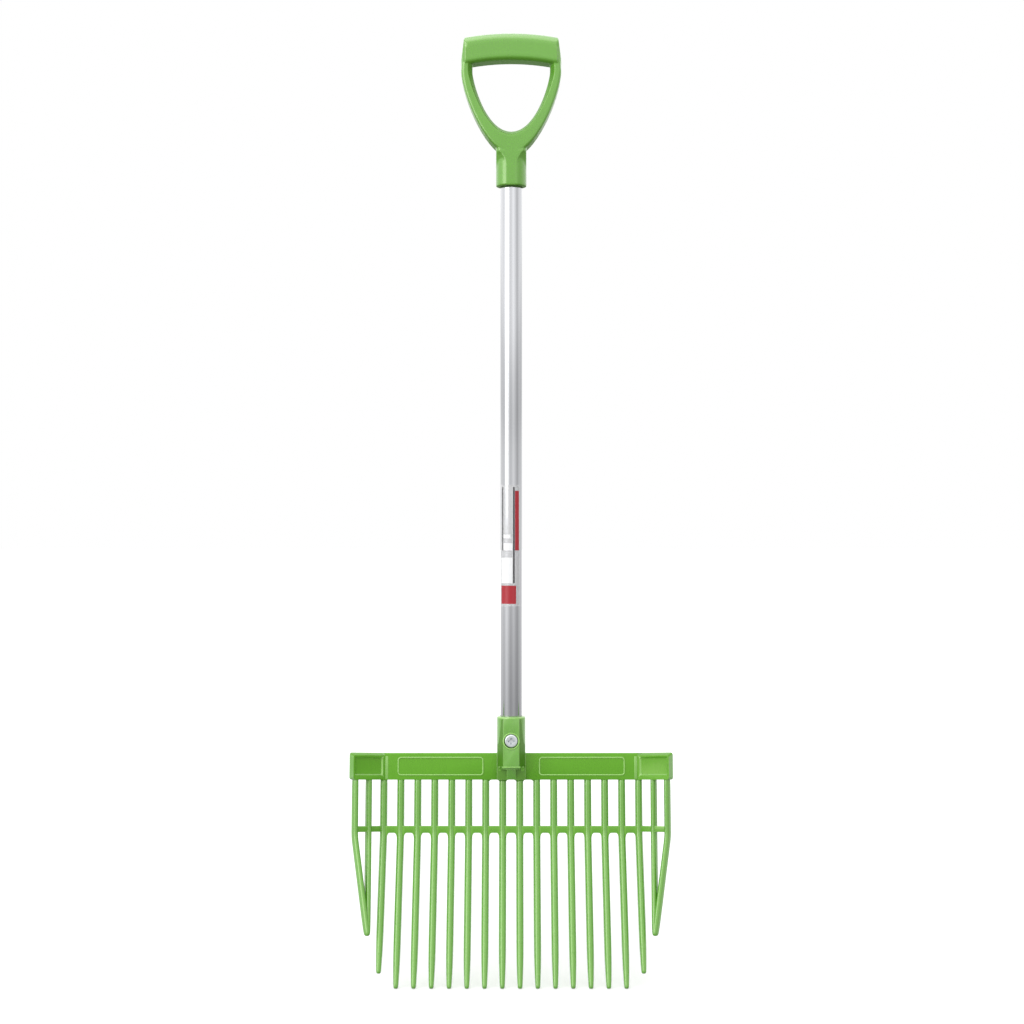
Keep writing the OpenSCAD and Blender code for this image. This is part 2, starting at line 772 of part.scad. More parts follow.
// Block on one side of the flat joint between the two side tines; way is 1 outside and -1 inside
module joint_side(way) {
    size = side_drop;
    inner = wing_place(wing_pitch, bend_z);
    outer = wing_place(2 * wing_pitch, bend_z);
    run = unit(side_tip - (inner + outer) / 2);
    across = unit((outer - inner) - ((outer - inner) * run) * run) * way;
    third = cross(run, across);
    multmatrix([
        [across[0], third[0], run[0], side_tip[0]],
        [across[1], third[1], run[1], side_tip[1]],
        [across[2], third[2], run[2], side_tip[2]]
    ]) translate([0, -size / 2, -size / 2]) cube(size);
}

module side_tine(along, way) {
    color(PLASTIC) difference() {
        on_wing(along) translate([0, 0, root_z]) tine(side_tine_w, side_tine_d, from_wing(along, side_tip));
        joint_side(-way);
    }
}

module inner_tine() {
    head_frame() side_tine(wing_pitch, -1);
}

module outer_tine() {
    head_frame() side_tine(2 * wing_pitch, 1);
}

// Socket fasteners

module socket_bolt() {
    color(ZINC) bolt_axis() pan_screw(bolt_d - shank_clear, bolt_len, bolt_head_d, bolt_head_h);
}

module nut_axis() {
    translate([0, nut_seat_y, bolt_z]) rotate([-90, 0, 0]) children();
}

module bolt_washer() {
    color(ZINC) nut_axis() difference() {
        cylinder(d = washer_d, h = washer_t);
        translate([0, 0, -over]) cylinder(d = bolt_d + shank_clear, h = washer_t + 2 * over);
    }
}

module bolt_nut() {
    collar_r = nut_af / 2 - nut_collar_h / 4;
    color(ZINC) nut_axis() translate([0, 0, washer_t]) difference() {
        union() {
            cylinder(d = nut_af / cos(30), h = nut_h, $fn = 6);
            cylinder(r = collar_r, h = nut_h + nut_collar_h);
        }
        translate([0, 0, -over]) cylinder(d = bolt_d, h = nut_h + nut_collar_h + 2 * over);
    }
}

grip();
grip_screw();
shaft();
shaft_label();
head_body();
cross_rail();
for (i = [0:tine_count - 1]) main_tine(i);
mirror([1, 0, 0]) outer_tine();  // left_outer_tine
mirror([1, 0, 0]) inner_tine();  // left_inner_tine
inner_tine();  // right_inner_tine
outer_tine();  // right_outer_tine
socket_bolt();
bolt_washer();
bolt_nut();
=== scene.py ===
"""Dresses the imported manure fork: green mouldings, a drawn tube, zinc fixings and a film label."""

import math

import bmesh
import bpy
from bpy.props import FloatProperty, FloatVectorProperty, IntProperty, PointerProperty
from mathutils import Matrix, Vector


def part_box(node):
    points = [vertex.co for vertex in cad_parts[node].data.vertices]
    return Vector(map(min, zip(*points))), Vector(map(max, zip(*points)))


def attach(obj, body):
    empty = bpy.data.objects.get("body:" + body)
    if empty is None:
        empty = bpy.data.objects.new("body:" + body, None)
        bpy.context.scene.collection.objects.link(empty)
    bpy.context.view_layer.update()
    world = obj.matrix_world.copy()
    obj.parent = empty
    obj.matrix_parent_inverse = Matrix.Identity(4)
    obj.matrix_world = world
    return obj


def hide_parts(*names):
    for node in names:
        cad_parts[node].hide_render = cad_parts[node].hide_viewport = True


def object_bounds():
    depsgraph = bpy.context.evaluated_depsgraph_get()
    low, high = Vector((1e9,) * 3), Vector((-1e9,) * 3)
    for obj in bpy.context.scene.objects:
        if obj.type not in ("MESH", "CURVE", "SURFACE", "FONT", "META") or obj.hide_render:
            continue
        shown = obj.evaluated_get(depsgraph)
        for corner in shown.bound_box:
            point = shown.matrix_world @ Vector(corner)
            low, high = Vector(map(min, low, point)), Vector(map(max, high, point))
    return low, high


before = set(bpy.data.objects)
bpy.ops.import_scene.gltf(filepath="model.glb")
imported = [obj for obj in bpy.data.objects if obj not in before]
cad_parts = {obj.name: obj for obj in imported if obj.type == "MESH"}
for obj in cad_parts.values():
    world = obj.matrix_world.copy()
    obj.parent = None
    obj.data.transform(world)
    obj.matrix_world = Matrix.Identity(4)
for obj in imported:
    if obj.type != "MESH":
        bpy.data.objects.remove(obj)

bl_info = {
    "name": "Manure fork",
    "version": (1, 0, 0),
    "blender": (4, 5, 0),
    "location": "View3D > Sidebar > Fork",
    "description": "Models the looks of a moulded manure fork round its packed frame",
    "category": "Object",
}

MM = 0.001
QUARTER = math.radians(90)
ORIGIN = (0, 0, 0)
# Distance within which two points count as one
TINY = 0.01 * MM
# Distance within which a point counts as lying on a rim
NEAR = 0.1 * MM
# Cosine above which a face looks along a direction
ALONG = 0.99
# Profile of a bevel that leaves a hollow corner
HOLLOW = 0.08
# Widest strip that counts as the rounding of an edge
STRIP = 0.46 * MM
CAD_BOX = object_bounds()


# Settings

def length(text, millimetres):
    """A length that a user may change, given in millimetres."""
    return FloatProperty(name=text, default=millimetres * MM, unit="LENGTH", subtype="DISTANCE")


def turn(text, degrees):
    """An angle that a user may change, given in degrees."""
    return FloatProperty(name=text, default=math.radians(degrees), subtype="ANGLE")


def share(text, value):
    """A plain factor that a user may change."""
    return FloatProperty(name=text, default=value, min=0.0)


def number(text, value):
    """A whole number that a user may change."""
    return IntProperty(name=text, default=value, min=1)


def tint(text, *screen):
    """A colour that a user may change, given as it looks on screen from 0 to 255."""
    return FloatVectorProperty(name=text, subtype="COLOR", size=4, min=0.0, max=1.0,
                               default=[*map(linear, screen), 1.0])


def linear(value):
    """Scene value of one screen colour channel from 0 to 255."""
    c = value / 255.0
    return c / 12.92 if c <= 0.04045 else ((c + 0.055) / 1.055) ** 2.4


class ForkGripSettings(bpy.types.PropertyGroup):
    """Sizes of the D grip's skin."""
    width: length("Bar width", 129.0)
    crown: length("Rise of the bar's arch", 7.0)
    bar_height: length("Bar height", 36.0)
    bar_depth: length("Bar depth", 34.0)
    end_round: length("Rounding of the bar's ends", 10.0)
    bar_bevel: length("Bevel of the bar's lower edges", 5.5)
    voxel: length("Grid step of the skin", 0.8)
    rounding: number("Smoothing passes", 14)
    triangles: number("Most triangles", 150000)


class ForkShaftSettings(bpy.types.PropertyGroup):
    """Sizes of the tube and its label."""
    diameter: length("Tube diameter", 28.0)
    wall: length("Tube wall", 1.5)
    edge: length("Rounding of the tube's ends", 0.4)
    film: length("Film thickness", 0.2)
    film_gap: length("Gap under the film", 0.05)
    label_turn: turn("Turn of the label from the front", -9.0)
    label_width: length("Label width round the tube", 28.0)


class ForkHeadSettings(bpy.types.PropertyGroup):
    """Sizes of the head moulding."""
    tilt: turn("Lean of the bar", 8.0)
    middle_y: length("Bar's middle behind the tube's axis", 3.0)
    middle_z: length("Height of the bar's middle", -908.25)
    bar_height: length("Bar height", 34.5)
    bar_thick: length("Bar thickness", 10.0)
    bar_round: length("Rounding of the bar's upper front", 2.5)
    bar_skin: length("Wall in front of the back pockets", 4.0)
    rib: length("Ribs between those pockets", 4.0)
    fold: turn("Forward fold of a wing", 36.0)
    fold_x: length("Fold's distance from the middle", 162.75)
    wing: length("Wing length from the fold", 47.2)
    wing_slope: length("Fall of a wing's top to its front", 3.5)
    wing_pitch: length("Spacing of a wing's tines", 20.3)
    tray_rim: length("Rim of a wing's tray", 2.25)
    tray_deep: length("Tray depth", 2.0)
    tray_foot: length("Extra rim under the tray", 3.4)
    tray_slope: length("Width of the tray's sloping sides", 1.5)
    tray_round: length("Rounding of tray and wing corners", 3.0)
    strip: length("Width of the strip beside a fold", 3.4)
    strip_gap: length("Gap from that strip to the fold", 0.8)
    strip_foot: length("Strip's foot over the bar's underside", 1.2)
    strip_drop: length("Strip's top below the bar's top", 4.5)
    frame_start: length("Bead frame's start from the middle", 35.5)
    frame_length: length("Bead frame length", 111.0)
    frame_height: length("Bead frame height", 24.0)
    frame_round: length("Bead frame corners", 4.5)
    bead: length("Bead width", 1.8)
    bead_rise: length("Bead rise", 1.0)
    socket_width: length("Socket diameter", 37.0)
    socket_length: length("Socket length above its ledge", 67.0)
    socket_floor: length("Floor under the bore", 7.0)
    mouth: length("Height of the socket's mouth", -843.0)
    mouth_round: length("Rounding of that mouth", 2.2)
    bore: length("Bore diameter", 28.3)
    pad_tilt: turn("Lean of the socket's front pad", 8.0)
    pad_width: length("Pad width", 20.6)
    pad_proud: length("Pad's rise over the socket at the mouth", 0.6)
    pad_drop: length("Pad's top below the mouth", 1.5)
    ledge_rise: length("Ledge's height over the bar's underside", 15.5)
    ledge_over: length("Ledge's reach beside the pad", 1.6)
    ledge_deep: length("Ledge's reach into the pad", 6.0)
    ledge_low: length("Ledge below the pad's foot", 0.7)
    ledge_high: length("Ledge above the pad's foot", 0.9)
    bolt_drop: length("Bolt below the mouth", 30.0)
    bolt_seat: length("Bolt head's seat in front of the axis", 18.35)
    counterbore: length("Diameter of that seat", 18.0)
    lip: length("Width of the ring round the seat", 1.8)
    lip_rise: length("Ring's rise over the pad", 1.0)
    lip_round: length("Ring's rounding", 0.8)
    boss: length("Boss diameter", 19.6)
    boss_round: length("Boss rounding", 0.6)
    window_round: length("Rounding of the gaps under the socket", 3.6)
    web_front: length("Webs in front of the bar's middle", 0.5)
    web_sink: length("Webs' reach into bar and tines", 0.3)
    edge: length("Rounding of plain edges", 0.5)


class ForkTineSettings(bpy.types.PropertyGroup):
    """Sizes of the tines and the cross rail."""
    count: number("Main tines", 16)
    pitch: length("Spacing of main tines", 21.9)
    width: length("Main tine width", 8.6)
    depth: length("Main tine depth", 10.0)
    side_width: length("Wing tine width", 6.4)
    side_depth: length("Wing tine depth", 8.2)
    sunk: length("Tine's reach into the bar", 4.0)
    reach: length("Main tine below its bend", 200.0)
    end_short: length("End tines shorter by", 19.0)
    bend: turn("Forward bend", 23.5)
    bend_radius: length("Bend radius", 40.0)
    side_drop: length("Wing tines' meeting point below the bend", 121.0)
    side_forward: length("That point to the front", 63.0)
    side_out: length("That point outside the fold", 16.0)
    window: length("Gap between bar and rail", 58.7)
    rail: length("Rail height", 9.0)
    rail_front: length("Rail in front of the tines' middle", 4.2)
    rail_back: length("Rail and webs behind that middle", 3.5)
    rail_round: length("Rounding of the rail's edges", 0.8)
    side_rail: length("Rail height on the wings", 7.5)
    arch: length("Radius of the arches under the rail", 4.2)


class ForkFixingSettings(bpy.types.PropertyGroup):
    """Sizes of the bolt, washer, nut and grip screw."""
    bolt: length("Bolt diameter", 7.6)
    bolt_length: length("Bolt length under the head", 50.0)
    bolt_head: length("Bolt head diameter", 17.2)
    bolt_head_height: length("Bolt head height", 6.0)
    washer: length("Washer diameter", 16.0)
    washer_thick: length("Washer thickness", 1.6)
    washer_round: length("Washer rounding", 0.25)
    nut: length("Nut across flats", 13.0)
    nut_high: length("Nut height", 5.5)
    nut_corner: length("Rounding of the nut's corners", 0.6)
    nut_round: length("Rounding of its other edges", 0.3)
    collar_high: length("Collar height", 2.5)
    collar_wall: length("Collar wall", 1.6)
    screw: length("Grip screw diameter", 4.6)
    screw_length: length("Grip screw length under the head", 12.0)
    screw_head: length("Grip screw head diameter", 9.5)
    screw_head_height: length("Grip screw head height", 3.0)
    screw_round: length("Rounding of sharp screw edges", 0.15)


class ForkFinishSettings(bpy.types.PropertyGroup):
    """Colours and finishes."""
    green: tint("Moulded plastic", 86, 158, 26)
    # Painted highlight colour, blended onto the marked edges and strips of the mouldings
    green_edge_highlight: tint("Painted highlight on the mouldings' edges", 132, 192, 82)
    aluminium: tint("Drawn tube", 190, 191, 194)
    zinc: tint("Plated fixings", 205, 210, 212)
    film: tint("Label film", 250, 250, 250)
    print_red: tint("Red print", 168, 30, 42)
    print_black: tint("Black print", 34, 34, 38)
    print_white: tint("White print", 236, 237, 238)


class ForkStageSettings(bpy.types.PropertyGroup):
    """Camera, light and floor."""
    far: length("Distance of the camera from the tube", 2526.0)
    height: length("Height of the camera", -580.0)
    aside: length("Shift of the camera to the right", 1.0)
    view: turn("Width of the camera's view", 29.3)
    floor_gap: length("Gap between the lowest tip and the floor", 0.5)
    world: share("Light of the white room on the object", 0.74)
    key: share("Brightness of the large lamp on the left", 1.7)
    top: share("Brightness of the lamp overhead", 1.0)


# Selecting and shaping

def deselect():
    """Leaves edit mode and selects nothing."""
    if bpy.context.object and bpy.context.object.mode != "OBJECT":
        bpy.ops.object.mode_set(mode="OBJECT")
    bpy.ops.object.select_all(action="DESELECT")


def pick(*objects):
    """Selects these objects alone, the last one active."""
    deselect()
    for obj in objects:
        obj.select_set(True)
    bpy.context.view_layer.objects.active = objects[-1]


def edit(obj):
    """Opens a piece in edit mode with all of it selected."""
    pick(obj)
    bpy.ops.object.mode_set(mode="EDIT")
    everything()


def everything():
    """Selects all of the edited mesh."""
    bpy.ops.mesh.select_all(action="SELECT")


def choose(kind, test):
    """Selects the vertices, edges or faces of the edited mesh that pass a test."""
    bpy.ops.mesh.select_mode(type=kind)
    bpy.ops.mesh.select_all(action="DESELECT")
    data = bpy.context.object.data
    mesh = bmesh.from_edit_mesh(data)
    for item in {"VERT": mesh.verts, "EDGE": mesh.edges, "FACE": mesh.faces}[kind]:
        if test(item):
            item.select_set(True)
    mesh.select_flush_mode()
    bmesh.update_edit_mesh(data)


def ends(test):
    """An edge test that holds where the places of both ends pass a test."""
    return lambda edge: all(test(vert.co) for vert in edge.verts)


def merge(reach=TINY):
    """Merges the doubles of the edited mesh."""
    everything()
    bpy.ops.mesh.remove_doubles(threshold=reach)


def bevel(kind, test, width, segments, profile=0.5):
    """Rounds the edges or corners of the edited mesh that pass a test."""
    choose(kind, test)
    bpy.ops.mesh.bevel(offset_type="OFFSET", offset=width, segments=segments, profile=profile,
                       affect="EDGES" if kind == "EDGE" else "VERTICES")


def discard(test):
    """Deletes the faces of the edited mesh that pass a test."""
    choose("FACE", test)
    bpy.ops.mesh.delete(type="FACE")


def slice_all(place, normal, **sides):
    """Cuts all of the edited mesh along a plane."""
    everything()
    bpy.ops.mesh.bisect(plane_co=place, plane_no=normal, **sides)


def push(step):
    """Extrudes what is selected by a step."""
    bpy.ops.mesh.extrude_region_move(TRANSFORM_OT_translate={"value": step})


def lift(height):
    """Moves what is selected up."""
    bpy.ops.transform.translate(value=(0, 0, height))


def stretch(factors, centre=ORIGIN):
    """Scales what is selected about a place."""
    bpy.ops.transform.resize(value=factors, center_override=centre)


def named(obj, name):
    """Gives an object and its mesh one name."""
    obj.name = name
    obj.data.name = name
    return obj


def begin(name):
    """Names the primitive just added and opens it in edit mode."""
    bpy.ops.object.mode_set(mode="EDIT")
    return named(bpy.context.object, name)


def block(name, low, high):
    """A box between two corners, open in edit mode."""
    deselect()
    bpy.ops.mesh.primitive_cube_add(size=1.0, location=ORIGIN)
    obj = begin(name)
    low, high = Vector(low), Vector(high)
    stretch(high - low)
    bpy.ops.transform.translate(value=(low + high) / 2)
    return obj


def drum(name, radius, depth, vertices):
    """A closed upright cylinder about the origin, open in edit mode."""
    deselect()
    bpy.ops.mesh.primitive_cylinder_add(vertices=vertices, radius=radius, depth=depth, location=ORIGIN)
    return begin(name)


def sleeve(name, radius, low, high, vertices):
    """The skin of an upright tube between two heights, open at both ends."""
    deselect()
    bpy.ops.mesh.primitive_cylinder_add(vertices=vertices, radius=radius, depth=high - low,
                                        end_fill_type="NOTHING", location=(0, 0, (low + high) / 2))
    obj = begin(name)
    settle(obj, obj.location)
    return obj


def modify(obj, kind, **values):
    """Adds one modifier and applies it."""
    pick(obj)
    modifier = obj.modifiers.new(kind.lower(), kind)
    for key, value in values.items():
        setattr(modifier, key, value)
    bpy.ops.object.modifier_apply(modifier=modifier.name)


def soften(obj, width, segments=2, sharp=32):
    """Rounds every edge that is sharper than an angle in degrees."""
    modify(obj, "BEVEL", width=width, segments=segments, limit_method="ANGLE",
           angle_limit=math.radians(sharp))


def settle(obj, place=ORIGIN, angles=ORIGIN, scale=(1, 1, 1)):
    """Moves a piece and writes its place into its mesh."""
    pick(obj)
    obj.location = place
    obj.rotation_euler = angles
    obj.scale = scale
    bpy.ops.object.transform_apply(location=True, rotation=True, scale=True)


def on_head(obj, place=ORIGIN):
    """Puts a piece modelled in the head's own frame where the head is."""
    head = bpy.context.scene.fork_head
    settle(obj, place)
    settle(obj, (0, head.middle_y, head.middle_z), (-head.tilt, 0, 0))


def on_bolt(obj, y, way):
    """Lays a piece modelled upright along the bolt, its top to the front (1) or to the back (-1)."""
    head = bpy.context.scene.fork_head
    settle(obj, (0, y, head.mouth - head.bolt_drop), (way * QUARTER, 0, 0))


def outward(obj):
    """Merges doubles and turns all faces outwards."""
    edit(obj)
    merge()
    bpy.ops.mesh.normals_make_consistent(inside=False)
    deselect()


def copy_of(obj, name):
    """A copy with its own mesh."""
    twin = obj.copy()
    twin.data = obj.data.copy()
    bpy.context.collection.objects.link(twin)
    return named(twin, name)


def joined(objects, name):
    """Several objects made one."""
    pick(*objects)
    bpy.ops.object.join()
    return named(bpy.context.object, name)


def mark(obj, name, level, test=lambda face: True):
    """Gives the faces that pass a test one level of a mask; a test may also give a share of it."""
    pick(obj)
    layer = obj.data.attributes.new(name, "FLOAT", "FACE")
    for face in obj.data.polygons:
        layer.data[face.index].value = level * test(face)


def mark_edges(obj):
    """Marks the narrow strips that round off the edges of a piece, which take the painted edge highlight."""
    mesh = obj.data
    layer = mesh.attributes.get("edge") or mesh.attributes.new("edge", "FLOAT", "FACE")
    for face in mesh.polygons:
        spots = [mesh.vertices[i].co for i in face.vertices]
        longest = max((spots[k] - spots[k - 1]).length for k in range(len(spots)))
        if face.area / longest < STRIP:
            layer.data[face.index].value = 1.0


def finished(obj, material, cad_node, angle=None):
    """Gives a piece its shading and material, hides the CAD part that it stands for and hangs it on the root
    body.
    """
    pick(obj)
    if angle is None:
        bpy.ops.object.shade_smooth()
    else:
        bpy.ops.object.shade_smooth_by_angle(angle=math.radians(angle))
        mark_edges(obj)
    if material:
        obj.data.materials.clear()
        obj.data.materials.append(material)
    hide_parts(cad_node)
    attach(obj, "root")
    deselect()


# Materials

def node(tree, kind, values=None, **settings):
    """A node with its settings, input values and links."""
    made = tree.nodes.new(kind)
    for key, value in settings.items():
        setattr(made, key, value)
    for key, value in (values or {}).items():
        if isinstance(value, bpy.types.NodeSocket):
            tree.links.new(value, made.inputs[key])
        else:
            made.inputs[key].default_value = value
    return made


def maths(tree, operation, *values):
    """One sum of values or sockets."""
    return node(tree, "ShaderNodeMath", dict(enumerate(values)), operation=operation).outputs[0]


def between(tree, value, low, high, at_low, at_high):
    """A value carried from one range to another."""
    return node(tree, "ShaderNodeMapRange", {
        "Value": value, "From Min": low, "From Max": high, "To Min": at_low, "To Max": at_high,
    }).outputs[0]


def noise(tree, scale, detail, stretched=None):
    """Noise from 0 to 1 over the object, which may be stretched first."""
    place = node(tree, "ShaderNodeTexCoord").outputs["Object"]
    if stretched:
        place = node(tree, "ShaderNodeMapping", {"Vector": place, "Scale": stretched}).outputs[0]
    return node(tree, "ShaderNodeTexNoise", {"Vector": place, "Scale": scale, "Detail": detail}).outputs[0]


def brightened(tree, colour, gain):
    """A colour times a value."""
    return node(tree, "ShaderNodeVectorMath", {0: colour, "Scale": gain}, operation="SCALE").outputs[0]


def new_group(name, inputs, outputs):
    """An empty shader node group and its two ends; a socket named as a colour is one."""
    tree = bpy.data.node_groups.new(name, "ShaderNodeTree")
    for way, labels in (("INPUT", inputs), ("OUTPUT", outputs)):
        for label in labels:
            kind = "NodeSocketColor" if "Colour" in label else "NodeSocketFloat"
            tree.interface.new_socket(label, in_out=way, socket_type=kind)
    return tree, tree.nodes.new("NodeGroupInput").outputs, tree.nodes.new("NodeGroupOutput").inputs


def moulded_group():
    """Cloudy tone, flow marks, a painted edge highlight, painted shade and a fine skin for moulded plastic.
    """
    tree, given, out = new_group(
        "moulded_skin", ("Colour", "Edge Colour", "Cloud", "Grain Size", "Roughness"),
        ("Colour", "Roughness", "Height", "Gloss"))
    cloud = noise(tree, 22.0, 4.0)
    flow = noise(tree, 1.0, 5.0, (90.0, 90.0, 14.0))
    swing = maths(tree, "SUBTRACT", maths(tree, "ADD", cloud, flow), 1.0)
    # The edge mask blends in a painted highlight colour, the deep mask darkens the colour as painted shade,
    # and the matte mask takes the coat off
    edge, matte, deep = (node(tree, "ShaderNodeAttribute", attribute_name=mask).outputs["Fac"]
                         for mask in ("edge", "matte", "deep"))
    colours = {0: edge, 6: given["Colour"], 7: given["Edge Colour"]}
    highlighted = node(tree, "ShaderNodeMix", colours, data_type="RGBA").outputs[2]
    shade = between(tree, deep, 0.0, 1.0, 1.0, 0.62)
    gain = maths(tree, "MULTIPLY_ADD", swing, given["Cloud"], shade)
    rough = maths(tree, "MULTIPLY_ADD", swing, 0.10, given["Roughness"])
    tree.links.new(brightened(tree, highlighted, gain), out["Colour"])
    tree.links.new(maths(tree, "MULTIPLY_ADD", deep, 0.3, rough), out["Roughness"])
    tree.links.new(noise(tree, given["Grain Size"], 2.0), out["Height"])
    tree.links.new(maths(tree, "MAXIMUM", maths(tree, "SUBTRACT", 1.0, matte), edge), out["Gloss"])
    return tree


def drawn_group():
    """Fine streaks that run along the tube, and a dusting of scuffs."""
    tree, given, out = new_group(
        "drawn_metal", ("Colour", "Streak", "Roughness"), ("Colour", "Roughness", "Height"))
    coarse = noise(tree, 1.0, 2.0, (260.0, 260.0, 0.6))
    fine = noise(tree, 1.0, 3.0, (1700.0, 1700.0, 2.0))
    swing = maths(tree, "SUBTRACT", maths(tree, "ADD", coarse, fine), 1.0)
    gain = maths(tree, "MULTIPLY_ADD", swing, given["Streak"], 1.0)
    tree.links.new(brightened(tree, given["Colour"], gain), out["Colour"])
    tree.links.new(maths(tree, "MULTIPLY_ADD", swing, 0.25, given["Roughness"]), out["Roughness"])
    tree.links.new(fine, out["Height"])
    return tree


GROUPS = {"moulded_skin": moulded_group, "drawn_metal": drawn_group}


def new_material(name, **sockets):
    """A Principled material with plain values on its sockets, its node tree and its shader."""
    material = bpy.data.materials.new(name)
    material.use_nodes = True
    shader = material.node_tree.nodes["Principled BSDF"]
    for key, value in sockets.items():
        shader.inputs[key.replace("_", " ")].default_value = value
    return material, material.node_tree, shader


def skin(name, group, bump, values, gloss=False, **sockets):
    """A material whose colour, roughness and bump come from a node group; it is made once."""
    material = bpy.data.materials.get(name)
    if material:
        return material
    material, tree, shader = new_material(name, **sockets)
    pattern = node(tree, "ShaderNodeGroup", node_tree=bpy.data.node_groups.get(group) or GROUPS[group]())
    for key, value in values.items():
        pattern.inputs[key].default_value = value
    tree.links.new(pattern.outputs["Colour"], shader.inputs["Base Color"])
    tree.links.new(pattern.outputs["Roughness"], shader.inputs["Roughness"])
    if gloss:
        tree.links.new(pattern.outputs["Gloss"], shader.inputs["Coat Weight"])
    relief = {"Height": pattern.outputs["Height"], "Distance": bump, "Strength": 1.0}
    tree.links.new(node(tree, "ShaderNodeBump", relief).outputs[0], shader.inputs["Normal"])
    return material


def green_plastic():
    """Satin green moulded polypropylene."""
    colours = bpy.context.scene.fork_finish
    return skin("satin_green", "moulded_skin", 0.02 * MM,
                {"Colour": colours.green, "Edge Colour": colours.green_edge_highlight, "Cloud": 0.08,
                 "Grain Size": 1300.0, "Roughness": 0.28},
                gloss=True, IOR=1.5, Specular_IOR_Level=0.65, Specular_Tint=(1.0, 1.0, 0.6, 1.0),
                Coat_Roughness=0.26, Coat_IOR=1.7)


def tube_aluminium():
    """Drawn bare aluminium."""
    colours = bpy.context.scene.fork_finish
    return skin("bare_tube", "drawn_metal", 0.01 * MM,
                {"Colour": colours.aluminium, "Streak": 0.25, "Roughness": 0.11}, Metallic=1.0)


def zinc_steel():
    """Bright zinc plate."""
    colours = bpy.context.scene.fork_finish
    return skin("zinc_plate", "moulded_skin", 0.02 * MM,
                {"Colour": colours.zinc, "Edge Colour": colours.zinc, "Cloud": 0.25,
                 "Grain Size": 1800.0, "Roughness": 0.32}, Metallic=1.0)


def film(name, colour, alpha=1.0):
    """Printed or clear label film."""
    return skin(name, "moulded_skin", 0.01 * MM,
                {"Colour": colour, "Edge Colour": colour, "Cloud": 0.05,
                 "Grain Size": 700.0, "Roughness": 0.25}, Alpha=alpha)


# Pieces

class ForkGrip(bpy.types.Operator):
    """Make the D grip as one rounded moulding"""
    bl_idname = "fork.grip"
    bl_label = "D grip"

    def execute(self, context):
        grip = context.scene.fork_grip
        core = bpy.data.objects.new("grip_core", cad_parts["grip"].data.copy())
        context.collection.objects.link(core)
        obj = joined([model_underside(grip), core], "d_grip")
        edit(obj)
        # The CAD mesh has fine facets, so its doubles are sought within a smaller reach
        merge(TINY / 5)
        modify(obj, "REMESH", mode="VOXEL", voxel_size=grip.voxel, use_smooth_shade=True)
        modify(obj, "SMOOTH", factor=0.5, iterations=grip.rounding)
        triangles = 2 * len(obj.data.polygons)
        if triangles > grip.triangles:
            modify(obj, "DECIMATE", ratio=grip.triangles / triangles)
        # Painted shade: the underside and the sides of the hand opening get a darker colour (deep) and lose
        # their coat (matte)
        mark(obj, "matte", 1.0, lambda face: max(turned_down(face), turned_in(grip, face)))
        mark(obj, "deep", 1.0, lambda face: max(turned_down(face), 0.5 * turned_in(grip, face)))
        finished(obj, green_plastic(), "grip")
        return {"FINISHED"}


def eased(value, start, span):
    """0 up to a start, 1 after a span, and evenly between."""
    return min(1.0, max(0.0, (value - start) / span))


def turned_down(face):
    """How far a face of the grip looks down, from 0 to 1."""
    return eased(-face.normal.z, 0.15, 0.5)


def turned_in(grip, face):
    """How far a face of the grip looks into the hand opening, from 0 to 1."""
    middle = -grip.width * 0.35
    reach = grip.width * 0.7
    way = Vector((-face.center.x, 0, middle - face.center.z))
    into = face.normal.dot(way.normalized()) if way.length < reach else 0.0
    return eased(into, 0.15, 0.4)


def model_underside(grip):
    """Fuller lower half of the grip's bar: a block bent to the arch, with a bevel along its edges."""
    half = grip.width / 2 - grip.end_round / 2
    deep = grip.bar_depth / 2
    obj = block("bar_underside", (-half, -deep, 0), (half, deep, grip.bar_height * 0.6))
    arch = grip.width ** 2 / (8 * grip.crown) + grip.crown / 2
    steps = 12
    columns = [half * (k / steps - 1) for k in range(2 * steps + 1)]
    for at in columns[1:-1]:
        slice_all((at, 0, 0), (1, 0, 0))
    for at in columns:
        choose("VERT", lambda v: abs(v.co.x - at) < TINY)
        lift(math.sqrt(arch ** 2 - at ** 2) - arch)

    def lower_edge(edge):
        """True for the two long edges under the bar."""
        low = ends(lambda p: p.z < grip.bar_height / 8 and abs(p.y) > grip.bar_depth * 0.45)
        return low(edge) and abs(edge.verts[0].co.x - edge.verts[1].co.x) > MM

    bevel("EDGE", lower_edge, grip.bar_bevel, 3)
    return obj


class ForkShaft(bpy.types.Operator):
    """Make the drawn tube"""
    bl_idname = "fork.shaft"
    bl_label = "Tube"

    def execute(self, context):
        shaft = context.scene.fork_shaft
        low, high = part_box("shaft")
        obj = sleeve("tube", shaft.diameter / 2, low.z, high.z, 96)
        modify(obj, "SOLIDIFY", thickness=shaft.wall, offset=-1.0)
        soften(obj, shaft.edge, sharp=60)
        outward(obj)
        finished(obj, tube_aluminium(), "shaft", angle=40)
        return {"FINISHED"}


# Printed blocks: film, from and to along the label, from and to across it
PRINT = (
    (2, 0.02, 0.17, -0.93, 0.60), (1, 0.19, 0.40, -0.93, 0.28), (2, 0.46, 0.95, 0.52, 0.92),
    (1, 0.46, 0.52, -0.6, 0.28), (1, 0.56, 0.59, -0.6, 0.10), (3, 0.19, 0.98, 0.34, 0.46),
    (3, 0.46, 0.98, -0.80, -0.68),
)


